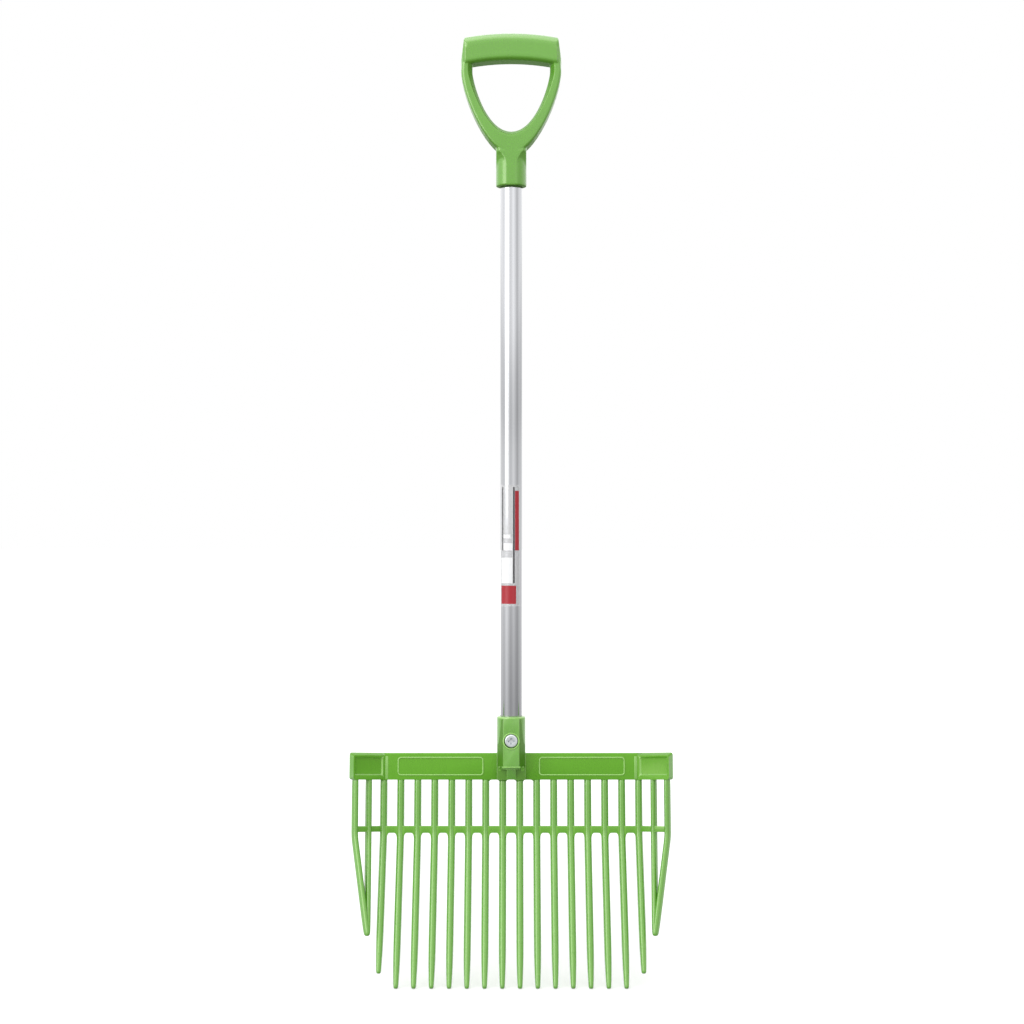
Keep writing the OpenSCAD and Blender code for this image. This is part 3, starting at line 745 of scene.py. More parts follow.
class ForkLabel(bpy.types.Operator):
    """Make the film label with its printed blocks and stripes"""
    bl_idname = "fork.label"
    bl_label = "Label"

    def execute(self, context):
        shaft = context.scene.fork_shaft
        colours = context.scene.fork_finish
        low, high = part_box("shaft_label")
        radius = shaft.diameter / 2 + shaft.film_gap
        half = shaft.label_width / 2 / radius
        tall = high.z - low.z
        obj = sleeve("film_label", radius, low.z, high.z, 180)

        def across(spot):
            """Place across the label, from -1 to 1."""
            return (math.atan2(spot.x, -spot.y) - shaft.label_turn) / half

        edit(obj)
        discard(lambda face: abs(across(face.calc_center_median())) > 1)
        for height in sorted({height for row in PRINT for height in row[1:3]}):
            slice_all((0, 0, low.z + height * tall), (0, 0, 1))
        deselect()
        obj.data.materials.clear()
        for material in (film("label_clear", colours.film, 0.2), film("label_white", colours.print_white),
                         film("label_red", colours.print_red), film("label_black", colours.print_black)):
            obj.data.materials.append(material)
        for face in obj.data.polygons:
            face.material_index = printed(across(face.center), (face.center.z - low.z) / tall)
        modify(obj, "SOLIDIFY", thickness=shaft.film, offset=1.0)
        finished(obj, None, "shaft_label", angle=40)
        return {"FINISHED"}


def printed(across, height):
    """Which film a spot of the label has: 0 clear, 1 white, 2 red, 3 black."""
    for film_number, low, high, left, right in PRINT:
        if low < height < high and left < across < right:
            return film_number
    return 0


class ForkHead(bpy.types.Operator):
    """Make the head's bar, wings and bolted socket"""
    bl_idname = "fork.head"
    bl_label = "Head"

    def execute(self, context):
        head = context.scene.fork_head
        sides = (-1, 1)
        bar = model_bar(head)
        # Coat off on the bar's front and wing tops; painted shade darkens the wing tops, and a painted
        # highlight lightens the tray sides that look up or away from the fold
        mark(bar, "matte", 1.0, lambda face: face.normal.y < -0.7 or wing_top(head, face))
        mark(bar, "deep", 0.3, lambda face: wing_top(head, face))
        mark(bar, "edge", 0.8, lambda face: tray_side(head, face))
        soften(bar, head.edge)
        raised = [model_bead(head, way) for way in sides] + [model_strip(head, way) for way in sides]
        foot = [model_plinth(head), model_rib(head)] + [model_gusset(head, way) for way in sides]
        foot += model_webs(head, context.scene.fork_tines)
        for obj in foot:
            soften(obj, head.edge)
        lower = joined([bar] + raised + foot, "head_lower")
        on_head(lower)
        upper = [model(head) for model in (model_socket, model_pad, model_ledge, model_lip, model_boss)]
        obj = joined([lower] + upper, "head")
        outward(obj)
        finished(obj, green_plastic(), "head_body", angle=35)
        return {"FINISHED"}


def model_bar(head):
    """The bar with its folded wings, trays and back pockets; one half is shaped, then mirrored."""
    high = head.bar_height / 2
    deep = head.bar_thick / 2
    obj = block("bar", (0, -deep, -high), (head.fold_x, deep, high))
    hinge = Vector((head.fold_x, -deep, 0))
    out = Vector((math.cos(head.fold), -math.sin(head.fold), 0))
    ahead = Vector((-math.sin(head.fold), -math.cos(head.fold), 0))
    # Length of the wing's first short piece, and the reach of the tests below
    start = 0.6 * MM

    def along(v):
        """Place of a vertex along the wing."""
        return (v.co - hinge).dot(out)

    def inward(v):
        """Place of a vertex behind the wing's front."""
        return (hinge - v.co).dot(ahead)

    def wing_front(face):
        """True for the large face of the wing's front."""
        return face.normal.dot(ahead) > ALONG and face.calc_area() > head.bar_thick * head.bar_height

    def end_corner(edge, side):
        """True for the upper (1) or lower (-1) corner of the wing's end."""
        first, second = edge.verts
        return (all(along(v) > head.wing - start and side * v.co.z > 0 for v in edge.verts)
                and abs(inward(first) - inward(second)) > deep)

    choose("FACE", lambda f: f.normal.x > ALONG)
    bpy.ops.mesh.spin(steps=4, angle=head.fold, center=hinge, axis=(0, 0, 1))
    merge()
    choose("FACE", lambda f: f.normal.dot(out) > ALONG)
    push(out * start)
    push(out * (head.wing - start))
    choose("VERT", lambda v: along(v) > start / 2 and abs(inward(v)) < start and v.co.z > 0)
    lift(-head.wing_slope)
    for side in (1, -1):
        bevel("EDGE", lambda e: end_corner(e, side), head.tray_round, 4)
    # The shallow tray on the wing's front
    choose("FACE", wing_front)
    bpy.ops.mesh.inset(thickness=head.tray_rim, depth=0)
    rim = head.tray_rim * 0.9
    choose("VERT", lambda v: start + rim < along(v) < head.wing - rim and abs(inward(v)) < start
           and rim - high < v.co.z < 0)
    lift(head.tray_foot)
    bevel("VERT", lambda v: abs(along(v) - start - head.tray_rim) < start / 4 and inward(v) < start,
          head.tray_round, 4)
    choose("FACE", wing_front)
    bpy.ops.mesh.inset(thickness=head.tray_slope, depth=-head.tray_deep)
    # Pockets between the ribs at the back
    pitch = bpy.context.scene.fork_tines.pitch
    first_rib = 1.5 * pitch

    def rear(face):
        """True for the back of the bar."""
        return face.normal.y > ALONG and abs(face.calc_center_median().y - deep) < start

    def cell(face):
        """True for a field of the back between two ribs."""
        spot = face.calc_center_median()
        return rear(face) and abs(spot.z) < start and spot.x > first_rib

    cells = int((head.fold_x - first_rib) / pitch)
    planes = [((first_rib + k * pitch, 0, 0), (1, 0, 0)) for k in range(cells + 1)]
    planes += [((0, 0, way * (high - head.rib / 2)), (0, 0, 1)) for way in (-1, 1)]
    for place, normal in planes:
        choose("FACE", rear)
        bpy.ops.mesh.bisect(plane_co=place, plane_no=normal)
    choose("FACE", cell)
    bpy.ops.mesh.inset(thickness=head.rib / 2, depth=0, use_individual=True)
    choose("FACE", lambda f: cell(f) and f.calc_area() > head.rib * head.bar_height * 2)
    push((0, head.bar_skin - head.bar_thick, 0))
    # The rounded upper edge of the front, then the other half
    bevel("EDGE", ends(lambda p: p.z > high - start and p.y < start - deep and p.x < head.fold_x + start),
          head.bar_round, 5)
    discard(lambda f: f.normal.x < -ALONG and f.calc_center_median().x < start)
    modify(obj, "MIRROR", use_axis=(True, False, False), merge_threshold=TINY)
    outward(obj)
    return obj


def wing_top(head, face):
    """True for the top of a wing."""
    return face.normal.z > 0.5 and abs(face.center.x) > head.fold_x


def tray_side(head, face):
    """True for the sides of a wing's tray that look up or away from the fold."""
    way = math.copysign(1.0, face.center.x)
    ahead = -way * math.sin(head.fold) * face.normal.x - math.cos(head.fold) * face.normal.y
    away = way * math.cos(head.fold) * face.normal.x - math.sin(head.fold) * face.normal.y
    return abs(face.center.x) > head.fold_x and 0.45 < ahead < 0.9 and (face.normal.z > 0.3 or away > 0.3)


def model_strip(head, way):
    """The smooth upright strip beside a fold."""
    high = head.bar_height / 2
    end = head.fold_x - head.strip_gap
    obj = block("fold_strip", (end - head.strip, -head.bar_thick / 2 - head.edge, head.strip_foot - high),
                (end, 0, high - head.strip_drop))
    settle(obj, scale=(way, 1, 1))
    # Painted highlight on the whole strip
    mark(obj, "edge", 0.4)
    soften(obj, head.edge * 0.8)
    return obj


def model_bead(head, way):
    """A raised round bead in a frame on one half of the bar's front."""
    deselect()
    bpy.ops.mesh.primitive_plane_add(size=1.0, location=ORIGIN)
    obj = begin("bead_frame")
    stretch((head.frame_length, head.frame_height, 1))
    bevel("VERT", lambda v: True, head.frame_round, 8)
    everything()
    bpy.ops.mesh.inset(thickness=head.bead, depth=0)
    discard(lambda f: f.calc_area() > head.frame_length * head.frame_height / 2)
    everything()
    high = head.bead_rise + head.edge
    push((0, 0, high))

    def ridge(edge):
        """True for the two upper edges along the bead."""
        return (all(v.co.z > high / 2 for v in edge.verts) and len(edge.link_faces) == 2
                and abs(edge.link_faces[0].normal.dot(edge.link_faces[1].normal)) < 0.5)

    bevel("EDGE", ridge, head.bead * 0.46, 4)
    outward(obj)
    middle = head.frame_start + head.frame_length / 2
    settle(obj, (way * middle, head.edge - head.bar_thick / 2, 0), (QUARTER, 0, 0))
    return obj


def model_plinth(head):
    """The thicker middle of the bar behind the socket."""
    high = head.bar_height / 2
    wide = head.socket_width / 2
    obj = block("plinth", (-wide, -head.bar_thick, -high), (wide, 0, high))
    # Painted shade: the plinth gets a darker colour (deep) and loses its coat (matte)
    for mask in ("matte", "deep"):
        mark(obj, mask, 0.8)
    return obj


def foot_reach(head):
    """How far the socket's foot stands in front of the bar's middle."""
    return pad_places(head)[1] - head.bar_thick


def model_rib(head):
    """The middle rib under the socket's ledge, which runs out to the bar's lower edge."""
    high = head.bar_height / 2
    wide = head.pad_width * 0.275
    reach = foot_reach(head)
    obj = block("foot_rib", (-wide, -reach, -high), (wide, 0, head.ledge_rise - high + MM))
    choose("VERT", lambda v: v.co.y < -head.bar_thick and v.co.z < -high + MM)
    bpy.ops.transform.translate(value=(0, reach - head.bar_thick, 0))
    return obj


def model_gusset(head, way):
    """A hollow-edged gusset beside that rib."""
    high = head.bar_height / 2
    half = head.rib / 2
    middle = way * (head.socket_width / 2 - head.rib)
    reach = foot_reach(head)
    obj = block("gusset", (middle - half, -reach, -high), (middle + half, 0, head.ledge_rise - high + MM))
    bevel("EDGE", ends(lambda p: p.y < -head.bar_thick and p.z < -high + MM),
          min(head.ledge_rise, reach - head.bar_thick / 2), 8, HOLLOW)
    # Painted highlight on the gusset's front and hollow edge
    mark(obj, "edge", 0.8, lambda face: abs(face.normal.x) < 0.5)
    return obj


def model_webs(head, tines):
    """Small webs that round the tops of the gaps under the socket."""
    gap = tines.pitch - tines.width
    r = head.window_round
    low = -head.bar_height / 2
    webs = []
    for k in (-1, 0, 1):
        for way in (-1, 1):
            wall = k * tines.pitch + way * gap / 2
            left, right = sorted((wall - way * r, wall + way * head.web_sink))
            obj = block("web", (left, -head.web_front, low - r),
                        (right, tines.rail_back, low + head.web_sink))
            bevel("EDGE", ends(lambda p: p.z < low - r / 2 and abs(p.x - wall + way * r) < NEAR),
                  r * 0.98, 6, HOLLOW)
            webs.append(obj)
    return webs


def model_socket(head):
    """The round socket with its bore and rounded mouth."""
    r = head.socket_width / 2
    obj = drum("socket", r, head.socket_length, 72)
    top = head.socket_length / 2
    choose("FACE", lambda f: f.normal.z > ALONG)
    bpy.ops.mesh.inset(thickness=r - head.bore / 2, depth=0)
    push((0, 0, head.socket_floor - head.socket_length))
    bevel("EDGE", ends(lambda p: p.z > top - NEAR and p.xy.length > r - NEAR), head.mouth_round, 5)
    bevel("EDGE", ends(lambda p: p.z > top - NEAR and p.xy.length < head.bore / 2 + NEAR), head.edge, 2)
    bevel("EDGE", ends(lambda p: p.z < -top + NEAR), head.edge, 2)
    settle(obj, (0, 0, head.mouth - top))
    # Painted highlight round the socket's rounded mouth
    mark(obj, "edge", 0.9, lambda face: face.center.z > head.mouth - head.mouth_round)
    return obj


def pad_places(head):
    """Back, front, low and high ends of the pad in its own leaning frame."""
    up = head.mouth - head.middle_z
    lean_cos, lean_sin = math.cos(head.pad_tilt), math.sin(head.pad_tilt)
    r = head.socket_width / 2 + head.pad_proud
    back = head.middle_y * lean_cos + up * lean_sin
    return (back, back + r * lean_cos, head.ledge_rise - head.bar_height / 2,
            up * lean_cos - (r + head.middle_y) * lean_sin - head.pad_drop)


def on_pad(head, obj):
    """Puts a piece modelled in the pad's leaning frame where the pad is."""
    settle(obj, (0, head.middle_y, head.middle_z), (-head.pad_tilt, 0, 0))


# Length of the drums that shape the bolt's seat and lip, enough to reach past the pad
SEAT_REACH = 40 * MM


def model_pad(head):
    """The flat pad on the socket's front, with the bolt's seat bored into it."""
    back, front, low, high = pad_places(head)
    half = head.socket_width / 2 - head.pad_proud
    obj = block("pad", (-half, -front, low), (half, -back, high))
    choose("VERT", lambda v: v.co.y < (-front - back) / 2)
    stretch((head.pad_width / 2 / half, 1, 1))
    on_pad(head, obj)
    cutter = drum("seat_cutter", head.counterbore / 2, SEAT_REACH, 64)
    on_bolt(cutter, -head.bolt_seat - SEAT_REACH / 2, 1)
    modify(obj, "BOOLEAN", operation="DIFFERENCE", object=cutter, solver="EXACT")
    bpy.data.objects.remove(cutter)
    soften(obj, head.edge)
    # Painted shade: the pad's flanks get a darker colour (deep) and lose their coat (matte)
    for mask in ("matte", "deep"):
        mark(obj, mask, 1.0, lambda face: abs(face.normal.x) > 0.3)
    return obj


def model_ledge(head):
    """The narrow ledge along the foot of the pad."""
    front, low = pad_places(head)[1:3]
    half = head.pad_width / 2 + head.ledge_over
    obj = block("ledge", (-half, -front - head.edge, low - head.ledge_low),
                (half, head.ledge_deep - front, low + head.ledge_high))
    on_pad(head, obj)
    # Painted highlight along the whole ledge
    mark(obj, "edge", 0.7)
    soften(obj, head.edge)
    return obj


def model_lip(head):
    """The raised ring round the bolt's seat, cut off parallel to the pad."""
    front = pad_places(head)[1] + head.lip_rise
    obj = drum("lip", head.counterbore / 2 + head.lip, SEAT_REACH, 64)
    discard(lambda f: abs(f.normal.z) > ALONG)
    on_bolt(obj, -head.bolt_seat - SEAT_REACH / 2, 1)
    lean = Matrix.Rotation(-head.pad_tilt, 3, "X")
    place = Vector((0, head.middle_y, head.middle_z)) + lean @ Vector((0, -front, 0))
    edit(obj)
    slice_all(place, lean @ Vector((0, -1, 0)), clear_outer=True)
    modify(obj, "SOLIDIFY", thickness=head.lip, offset=-1.0)
    soften(obj, head.lip_round, segments=4, sharp=50)
    return obj


def back_seat(head):
    """Place of the washer's seat behind the tube's axis."""
    return head.socket_width / 2 + head.lip_rise


def model_boss(head):
    """The short boss at the back that carries the washer."""
    deep = back_seat(head)
    obj = drum("boss", head.boss / 2, deep, 64)
    bevel("EDGE", ends(lambda p: p.z > deep / 2 - NEAR), head.boss_round, 3)
    on_bolt(obj, deep / 2, -1)
    return obj


# Tapers: distance from the tip in millimetres, share of the full section
MAIN_TAPER = (
    (58.0, 0.97), (40.0, 0.93), (28.0, 0.87), (13.0, 0.76), (5.0, 0.69), (2.2, 0.61), (0.8, 0.46),
    (0.1, 0.22),
)
SIDE_TAPER = (
    (58.0, 1.0), (40.0, 1.0), (28.0, 0.99), (13.0, 0.97), (5.0, 0.92), (2.2, 0.82), (0.8, 0.62),
    (0.1, 0.3),
)
# Points at the back of a tine's ring, from and to on the unit circle, and how they are spread
BACK_SPREAD = ((0.5, 0.6, (1.20, 1.2, 1)), (0.8, 0.9, (1.38, 1.16, 1)), (0.9, 1.1, (1.4, 1.0, 1)))
# Points of the ring, its extra width before it is subdivided, and its share inside the bar
RING_POINTS = 16
RING_FULL = 1.115
RING_SUNK = 0.95


class ForkTines(bpy.types.Operator):
    """Make the main tines and the side tines that meet in a V"""
    bl_idname = "fork.tines"
    bl_label = "Tines"

    def execute(self, context):
        head = context.scene.fork_head
        tines = context.scene.fork_tines
        root = -head.bar_height / 2
        knee = -tines.window - tines.rail - tines.arch
        last = tines.count - 1
        long, short = (
            model_tine(tines, tines.width, tines.depth, knee, main_tip(tines, knee, reach), MAIN_TAPER)
            for reach in (tines.reach, tines.reach - tines.end_short))
        for i in range(tines.count):
            name = "tine_%02d" % (i + 1)
            obj = copy_of(short if i in (0, last) else long, name + "_skin")
            on_head(obj, ((i - last / 2) * tines.pitch, 0, root))
            finished(obj, green_plastic(), name)
        meet = Vector((head.fold_x + tines.side_out, -tines.side_forward, root + knee - tines.side_drop))
        for label, steps in (("inner", 1), ("outer", 2)):
            foot = wing_place(head, steps * head.wing_pitch, root)
            tip = Matrix.Rotation(head.fold, 3, "Z") @ (meet - foot)
            pattern = model_tine(tines, tines.side_width, tines.side_depth, knee, tip, SIDE_TAPER)
            for side, way in (("right", 1), ("left", -1)):
                name = "%s_%s_tine" % (side, label)
                obj = copy_of(pattern, name + "_skin")
                settle(obj, foot, (0, 0, -head.fold))
                settle(obj, scale=(way, 1, 1))
                on_head(obj)
                outward(obj)
                finished(obj, green_plastic(), name)
            bpy.data.objects.remove(pattern)
        for pattern in (long, short):
            bpy.data.objects.remove(pattern)
        return {"FINISHED"}


def main_tip(tines, knee, reach):
    """Tip of a main tine in its own frame."""
    return Vector((0, -reach * math.sin(tines.bend), knee - reach * math.cos(tines.bend)))


def wing_place(head, along, height):
    """A place in the middle of the right wing's thickness."""
    half = head.bar_thick / 2
    fold_cos, fold_sin = math.cos(head.fold), math.sin(head.fold)
    return Vector((head.fold_x + along * fold_cos + half * fold_sin,
                   -half - along * fold_sin + half * fold_cos, height))


def model_tine(tines, width, depth, knee_z, tip, taper):
    """One tine in its own frame: a ring pushed down, spun round the bend and thinned to its tip."""
    down = Vector((0, 0, -1))
    knee = Vector((0, 0, knee_z))
    ahead = (tip - knee).normalized()
    angle = down.angle(ahead)
    axis = down.cross(ahead).normalized()
    before = tines.bend_radius * math.tan(angle / 2)
    deselect()
    bpy.ops.mesh.primitive_circle_add(vertices=RING_POINTS, radius=1.0, fill_type="NOTHING", location=ORIGIN)
    obj = begin("tine")
    everything()
    bpy.ops.transform.rotate(value=math.pi / RING_POINTS, orient_axis="Z", center_override=ORIGIN)
    for low, high, spread in BACK_SPREAD:
        choose("VERT", lambda v: low < v.co.y < high)
        stretch(spread)
    everything()
    stretch((width / 2 * RING_FULL, depth / 2, 1))
    lift(tines.sunk)
    at = Vector((0, 0, tines.sunk))
    size = 1.0

    def go(to, scale):
        """Pushes the tine's end on to a place and a share of the full section."""
        nonlocal at, size
        push(to - at)
        stretch([scale / size] * 3, to)
        at, size = to, scale

    stretch((RING_SUNK, RING_SUNK, 1), at)
    go(Vector(ORIGIN), 1.0)
    stretch((1 / RING_SUNK, 1 / RING_SUNK, 1), at)
    go(Vector((0, 0, knee_z / 2)), 1.0)
    go(knee - before * down, 1.0)
    bpy.ops.mesh.spin(steps=6, angle=-angle, center=at + tines.bend_radius * axis.cross(down), axis=axis)
    at = knee + before * ahead
    go(tip - ahead * (tip - knee).length / 2, 0.99)
    for back, scale in taper:
        go(tip - ahead * back * MM, scale)
    everything()
    bpy.ops.mesh.fill_holes(sides=0)
    bpy.ops.mesh.normals_make_consistent(inside=False)
    modify(obj, "SUBSURF", levels=1, render_levels=1)
    return obj


class ForkRail(bpy.types.Operator):
    """Make the cross rail with an arch between each pair of tines"""
    bl_idname = "fork.rail"
    bl_label = "Cross rail"

    def execute(self, context):
        head = context.scene.fork_head
        tines = context.scene.fork_tines
        top = -head.bar_height / 2 - tines.window
        pattern = model_arch(tines)
        pieces = []
        for i in range(tines.count - 1):
            piece = copy_of(pattern, "rail_piece")
            settle(piece, ((i + 1 - tines.count / 2) * tines.pitch, 0, top))
            pieces.append(piece)
        bpy.data.objects.remove(pattern)
        for way in (1, -1):
            piece = block("side_rail", (-MM, -tines.rail_front / 2, -tines.side_rail),
                          (2 * head.wing_pitch, tines.rail_back, 0))
            soften(piece, head.edge)
            settle(piece, (0, head.bar_thick / 2, top))
            settle(piece, (head.fold_x, -head.bar_thick / 2, 0), (0, 0, -head.fold))
            settle(piece, scale=(way, 1, 1))
            pieces.append(piece)
        obj = joined(pieces, "rail")
        mark(obj, "matte", 0.7)
        on_head(obj)
        outward(obj)
        finished(obj, green_plastic(), "cross_rail", angle=35)
        return {"FINISHED"}


def model_arch(tines):
    """One piece of the rail, with a hollow corner on each side under it."""
    half = (tines.pitch - tines.width) / 2
    end = tines.pitch / 2
    low = -tines.rail / 2
    obj = block("arch", (-end, -tines.rail_front, -tines.rail), (end, tines.rail_back, 0))
    steps = 6
    for step in range(steps + 1):
        angle = QUARTER * step / steps
        at = half - tines.arch + tines.arch * math.sin(angle)
        for way in (-1, 1):
            slice_all((way * at, 0, 0), (1, 0, 0))
            choose("VERT", lambda v: abs(v.co.x - way * at) < TINY and v.co.z < low)
            lift(tines.arch * (math.cos(angle) - 1))
    choose("VERT", lambda v: abs(v.co.x) > half + MM / 2 and v.co.z < low)
    lift(-tines.arch)
    soften(obj, tines.rail_round)
    # Painted highlight on the rail's rounded front edges and arches
    mark(obj, "edge", 0.8, lambda face: -0.95 < face.normal.y < -0.2)
    return obj


class ForkFixings(bpy.types.Operator):
    """Make the bolt, washer and nut of the socket and the screw of the grip"""
    bl_idname = "fork.fixings"
    bl_label = "Fixings"

    def execute(self, context):
        head = context.scene.fork_head
        sizes = context.scene.fork_fixings
        bolt = model_screw(sizes, "bolt", sizes.bolt_head, sizes.bolt_head_height, sizes.bolt,
                           sizes.bolt_length)
        on_bolt(bolt, -head.bolt_seat, 1)
        washer = model_washer(sizes)
        on_bolt(washer, back_seat(head), -1)
        nut = model_nut(sizes)
        on_bolt(nut, back_seat(head) + sizes.washer_thick, -1)
        screw = model_screw(sizes, "grip_screw_skin", sizes.screw_head, sizes.screw_head_height, sizes.screw,
                            sizes.screw_length)
        low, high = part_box("grip_screw")
        settle(screw, (0, high.y - sizes.screw_head_height, (low.z + high.z) / 2), (-QUARTER, 0, 0))
        for obj, cad_node in ((bolt, "socket_bolt"), (washer, "bolt_washer"), (nut, "bolt_nut"),
                              (screw, "grip_screw")):
            finished(obj, zinc_steel(), cad_node, angle=35)
        return {"FINISHED"}


def model_screw(sizes, name, head_wide, head_high, shank, long):
    """A pan-head screw that stands head up, with a cross recess; its seat is at the origin."""
    obj = drum(name, head_wide / 2, head_high, 48)
    lift(head_high / 2)
    bevel("EDGE", ends(lambda p: p.z > head_high * 0.99), head_high * 0.32, 6)
    slot_half, slot_reach, slot_deep = head_wide * 0.065, head_wide * 0.25, head_high * 0.5

    def on_top(face):
        """True for the flat top of the head."""
        return face.normal.z > ALONG and face.calc_center_median().z > head_high * 0.9

    def in_cross(face):
        """True for the part of the top inside the cross."""
        near, far = sorted(abs(place) for place in face.calc_center_median().xy)
        return on_top(face) and near < slot_half and far < slot_reach

    for at in (-slot_reach, -slot_half, slot_half, slot_reach):
        for way in ((1, 0, 0), (0, 1, 0)):
            choose("FACE", on_top)
            bpy.ops.mesh.bisect(plane_co=Vector(way) * at, plane_no=way)
    choose("FACE", in_cross)
    push((0, 0, -slot_deep))
    stretch((0.7, 0.7, 1))
    choose("FACE", lambda f: f.normal.z < -ALONG)
    bpy.ops.mesh.inset(thickness=(head_wide - shank) / 2, depth=0)
    push((0, 0, -long))
    bevel("EDGE", ends(lambda p: p.z < -long * 0.99), shank * 0.12, 2)
    soften(obj, sizes.screw_round)
    return obj


def model_washer(sizes):
    """A plain washer that lies on the origin."""
    obj = drum("washer", sizes.washer / 2, sizes.washer_thick, 48)
    lift(sizes.washer_thick / 2)
    hole = sizes.bolt * 0.53
    choose("FACE", lambda f: abs(f.normal.z) > ALONG)
    bpy.ops.mesh.inset(thickness=sizes.washer / 2 - hole, depth=0)
    discard(lambda f: abs(f.normal.z) > ALONG and len(f.verts) > 4)
    choose("EDGE", lambda e: len(e.link_faces) == 1)
    bpy.ops.mesh.bridge_edge_loops()
    soften(obj, sizes.washer_round)
    return obj


def model_nut(sizes):
    """A hexagon lock nut with a round collar, lying on the origin."""
    half = sizes.nut / 2
    obj = drum("lock_nut", half / math.cos(math.radians(30)), sizes.nut_high, 6)
    lift(sizes.nut_high / 2)
    bevel("EDGE", lambda e: abs(e.verts[0].co.z - e.verts[1].co.z) > sizes.nut_high / 2, sizes.nut_corner, 3)
    top = sizes.nut_high + sizes.collar_high
    collar = drum("collar", half - sizes.nut_corner, top, 48)
    lift(top / 2)
    bevel("EDGE", ends(lambda p: p.z > top * 0.99), sizes.collar_high * 0.5, 4)
    choose("FACE", lambda f: f.normal.z > ALONG)
    bpy.ops.mesh.inset(thickness=sizes.collar_wall, depth=0)
    push((0, 0, -sizes.collar_high * 0.8))
    soften(obj, sizes.nut_round)
    return joined([obj, collar], "lock_nut")


# Floor, lamps by the name of their brightness (place, size) and the lamps' aim, in metres
FLOOR_SIZE = 30.0
FLOOR_BACK = 12.8
LAMPS = {"key": ((-1.9, -1.7, 0.4), (1.6, 2.6)), "top": ((0.0, -0.5, 2.2), (2.0, 2.0))}
LAMP_AIM = Vector((0, 0, -0.55))


class ForkStage(bpy.types.Operator):
    """Set the floor, the white room, the lamps and the camera"""
    bl_idname = "fork.stage"
    bl_label = "Stage"

    def execute(self, context):
        stage = context.scene.fork_stage
        deselect()
        bpy.ops.mesh.primitive_plane_add(size=FLOOR_SIZE, location=ORIGIN)
        floor = named(context.object, "floor")
        settle(floor, (0, FLOOR_BACK, CAD_BOX[0][2] - stage.floor_gap))
        floor.data.materials.append(floor_white())
        floor.visible_glossy = False
        context.scene.world = white_room(stage.world)
        for name, (place, size) in LAMPS.items():
            lamp(name + "_lamp", place, size, getattr(stage, name))
        lens = bpy.data.cameras.new("camera")
        lens.sensor_width = 36.0
        lens.sensor_fit = "HORIZONTAL"
        lens.angle = stage.view
        camera = bpy.data.objects.new("camera", lens)
        context.collection.objects.link(camera)
        camera.location = (stage.aside, -stage.far, stage.height)
        camera.rotation_euler = (QUARTER, 0, 0)
        context.scene.camera = camera
        context.scene.view_settings.view_transform = "Standard"
        return {"FINISHED"}


def lamp(name, place, size, level):
    """A soft lamp of a given brightness that looks at the middle of the fork."""
    light = bpy.data.lights.new(name, "AREA")
    light.shape = "RECTANGLE"
    light.size, light.size_y = size
    light.energy = level * math.pi * size[0] * size[1]
    obj = bpy.data.objects.new(name, light)
    bpy.context.collection.objects.link(obj)
    obj.location = place
    obj.rotation_euler = (LAMP_AIM - Vector(place)).to_track_quat("-Z", "Y").to_euler()
    obj.visible_camera = False


# Brightness of the room by degrees round from the front, and by the sine of the height angle
CARDS = (
    (-180, 1.3), (-125, 1.3), (-90, 1.15), (-50, 1.8), (-6, 1.03), (26, 1.4), (67, 0.75), (98, 1.1),
    (180, 1.3),
)
RISE = (
    (-1.0, 0.42), (-0.4, 0.48), (-0.12, 0.9), (-0.065, 0.92), (0.04, 0.9), (0.083, 0.76), (0.16, 0.85),
    (0.25, 1.15), (1.0, 1.2),
)
# A ramp holds colours up to 1, so its levels are stored as shares of this one
BRIGHTEST = 4


def ramp(tree, value, steps):
    """A value from 0 to 1 read off a list of places and levels."""
    curve = node(tree, "ShaderNodeValToRGB", {"Fac": value})
    stops = curve.color_ramp.elements
    low, high = steps[0][0], steps[-1][0]
    for k, (place, level) in enumerate(steps):
        at = (place - low) / (high - low)
        stop = stops[0] if k == 0 else stops[-1] if k == len(steps) - 1 else stops.new(at)
        stop.position = at
        stop.color = [level / BRIGHTEST] * 3 + [1]
    return maths(tree, "MULTIPLY", curve.outputs["Color"], BRIGHTEST)


def white_room(level):
    """A world that is white to the camera and lights the fork by soft cards all round."""
    world = bpy.data.worlds.new("white_room")
    world.use_nodes = True
    tree = world.node_tree
    back = tree.nodes["Background"]
    back.inputs["Color"].default_value = (1, 1, 1, 1)
    seen_way = node(tree, "ShaderNodeTexCoord").outputs["Generated"]
    way = node(tree, "ShaderNodeSeparateXYZ", {0: seen_way}).outputs
    around = maths(tree, "ARCTAN2", way["X"], maths(tree, "MULTIPLY", way["Y"], -1.0))
    cards = ramp(tree, between(tree, around, -math.pi, math.pi, 0.0, 1.0), CARDS)
    rise = ramp(tree, between(tree, way["Z"], -1.0, 1.0, 0.0, 1.0), RISE)
    path = node(tree, "ShaderNodeLightPath").outputs
    mirrored = between(tree, path["Is Glossy Ray"], 0.0, 1.0, level, 1.0)
    lit = maths(tree, "MULTIPLY", maths(tree, "MULTIPLY", cards, rise), mirrored)
    strength = node(tree, "ShaderNodeMix", {"Factor": path["Is Camera Ray"], "A": lit, "B": 1.0})
    tree.links.new(strength.outputs[0], back.inputs["Strength"])
    return world


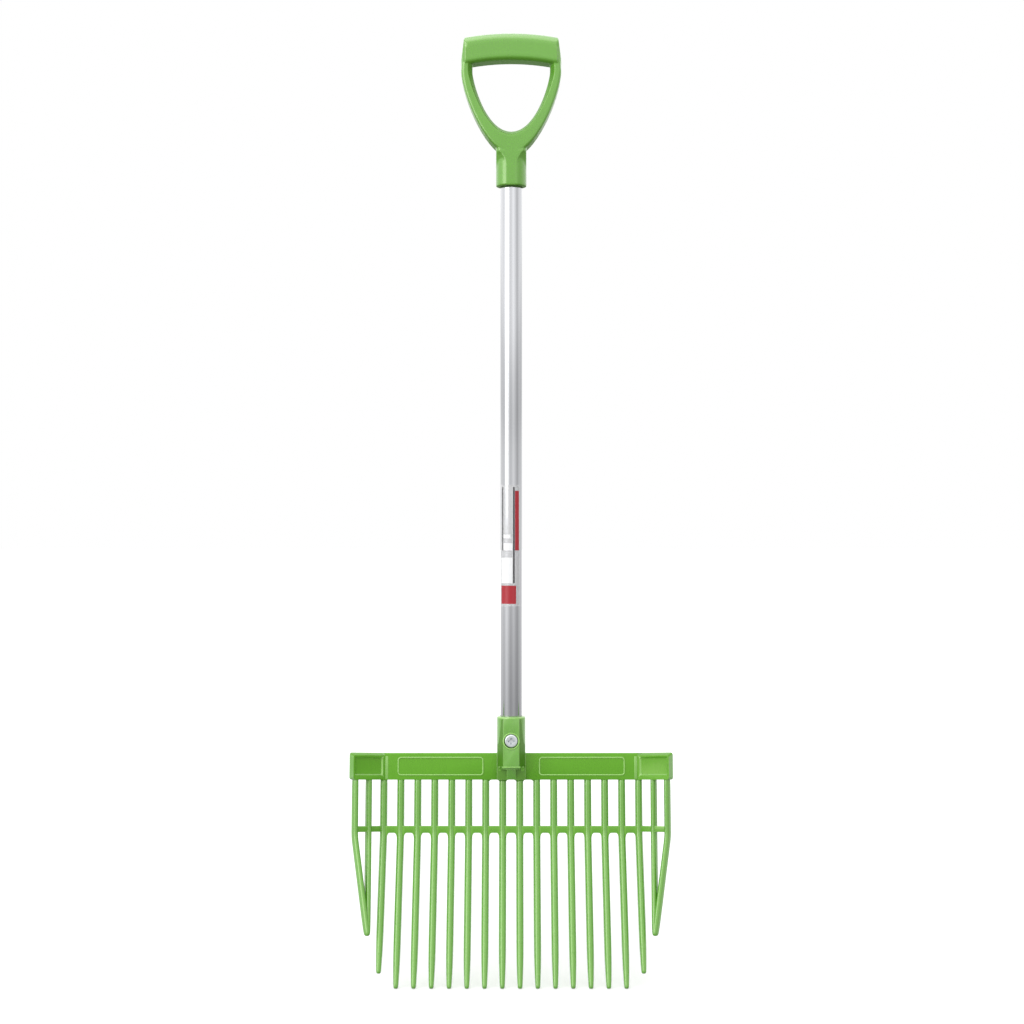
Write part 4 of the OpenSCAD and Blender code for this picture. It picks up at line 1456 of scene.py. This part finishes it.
def floor_white():
    """Pale floor that glows to the camera, so that it is white with a soft shadow."""
    material, tree, shader = new_material(
        "floor_white", Base_Color=(0.62, 0.62, 0.62, 1), Roughness=0.9, Specular_IOR_Level=0.0,
        Emission_Color=(1, 1, 1, 1))
    place = node(tree, "ShaderNodeTexCoord").outputs["Object"]
    far = node(tree, "ShaderNodeVectorMath", {0: place}, operation="LENGTH").outputs["Value"]
    glow = between(tree, far, 0.3, 3.0, 0.3, 0.7)
    seen = node(tree, "ShaderNodeLightPath").outputs["Is Camera Ray"]
    tree.links.new(maths(tree, "MULTIPLY", seen, glow), shader.inputs["Emission Strength"])
    return material


# Add-on

class ForkPanel(bpy.types.Panel):
    """Buttons for the pieces of the fork"""
    bl_idname = "VIEW3D_PT_fork"
    bl_label = "Manure fork"
    bl_space_type = "VIEW_3D"
    bl_region_type = "UI"
    bl_category = "Fork"

    def draw(self, context):
        for operator in OPERATORS:
            self.layout.operator(operator.bl_idname)
        for name, group in SETTINGS.items():
            box = self.layout.box()
            for key in group.__annotations__:
                box.prop(getattr(context.scene, name), key)


SETTINGS = {
    "fork_grip": ForkGripSettings, "fork_shaft": ForkShaftSettings, "fork_head": ForkHeadSettings,
    "fork_tines": ForkTineSettings, "fork_fixings": ForkFixingSettings, "fork_finish": ForkFinishSettings,
    "fork_stage": ForkStageSettings,
}
OPERATORS = (ForkGrip, ForkShaft, ForkLabel, ForkHead, ForkTines, ForkRail, ForkFixings, ForkStage)


def register():
    """Registers the settings, operators and panel."""
    for name, group in SETTINGS.items():
        bpy.utils.register_class(group)
        setattr(bpy.types.Scene, name, PointerProperty(type=group))
    for operator in OPERATORS:
        bpy.utils.register_class(operator)
    bpy.utils.register_class(ForkPanel)


def unregister():
    """Takes the panel, operators and settings out again."""
    bpy.utils.unregister_class(ForkPanel)
    for operator in reversed(OPERATORS):
        bpy.utils.unregister_class(operator)
    for name, group in reversed(SETTINGS.items()):
        delattr(bpy.types.Scene, name)
        bpy.utils.unregister_class(group)


def main():
    """Builds the fork piece by piece."""
    register()
    bpy.ops.fork.grip()
    bpy.ops.fork.shaft()
    bpy.ops.fork.label()
    bpy.ops.fork.head()
    bpy.ops.fork.tines()
    bpy.ops.fork.rail()
    bpy.ops.fork.fixings()
    bpy.ops.fork.stage()


if __name__ == "__main__":
    main()
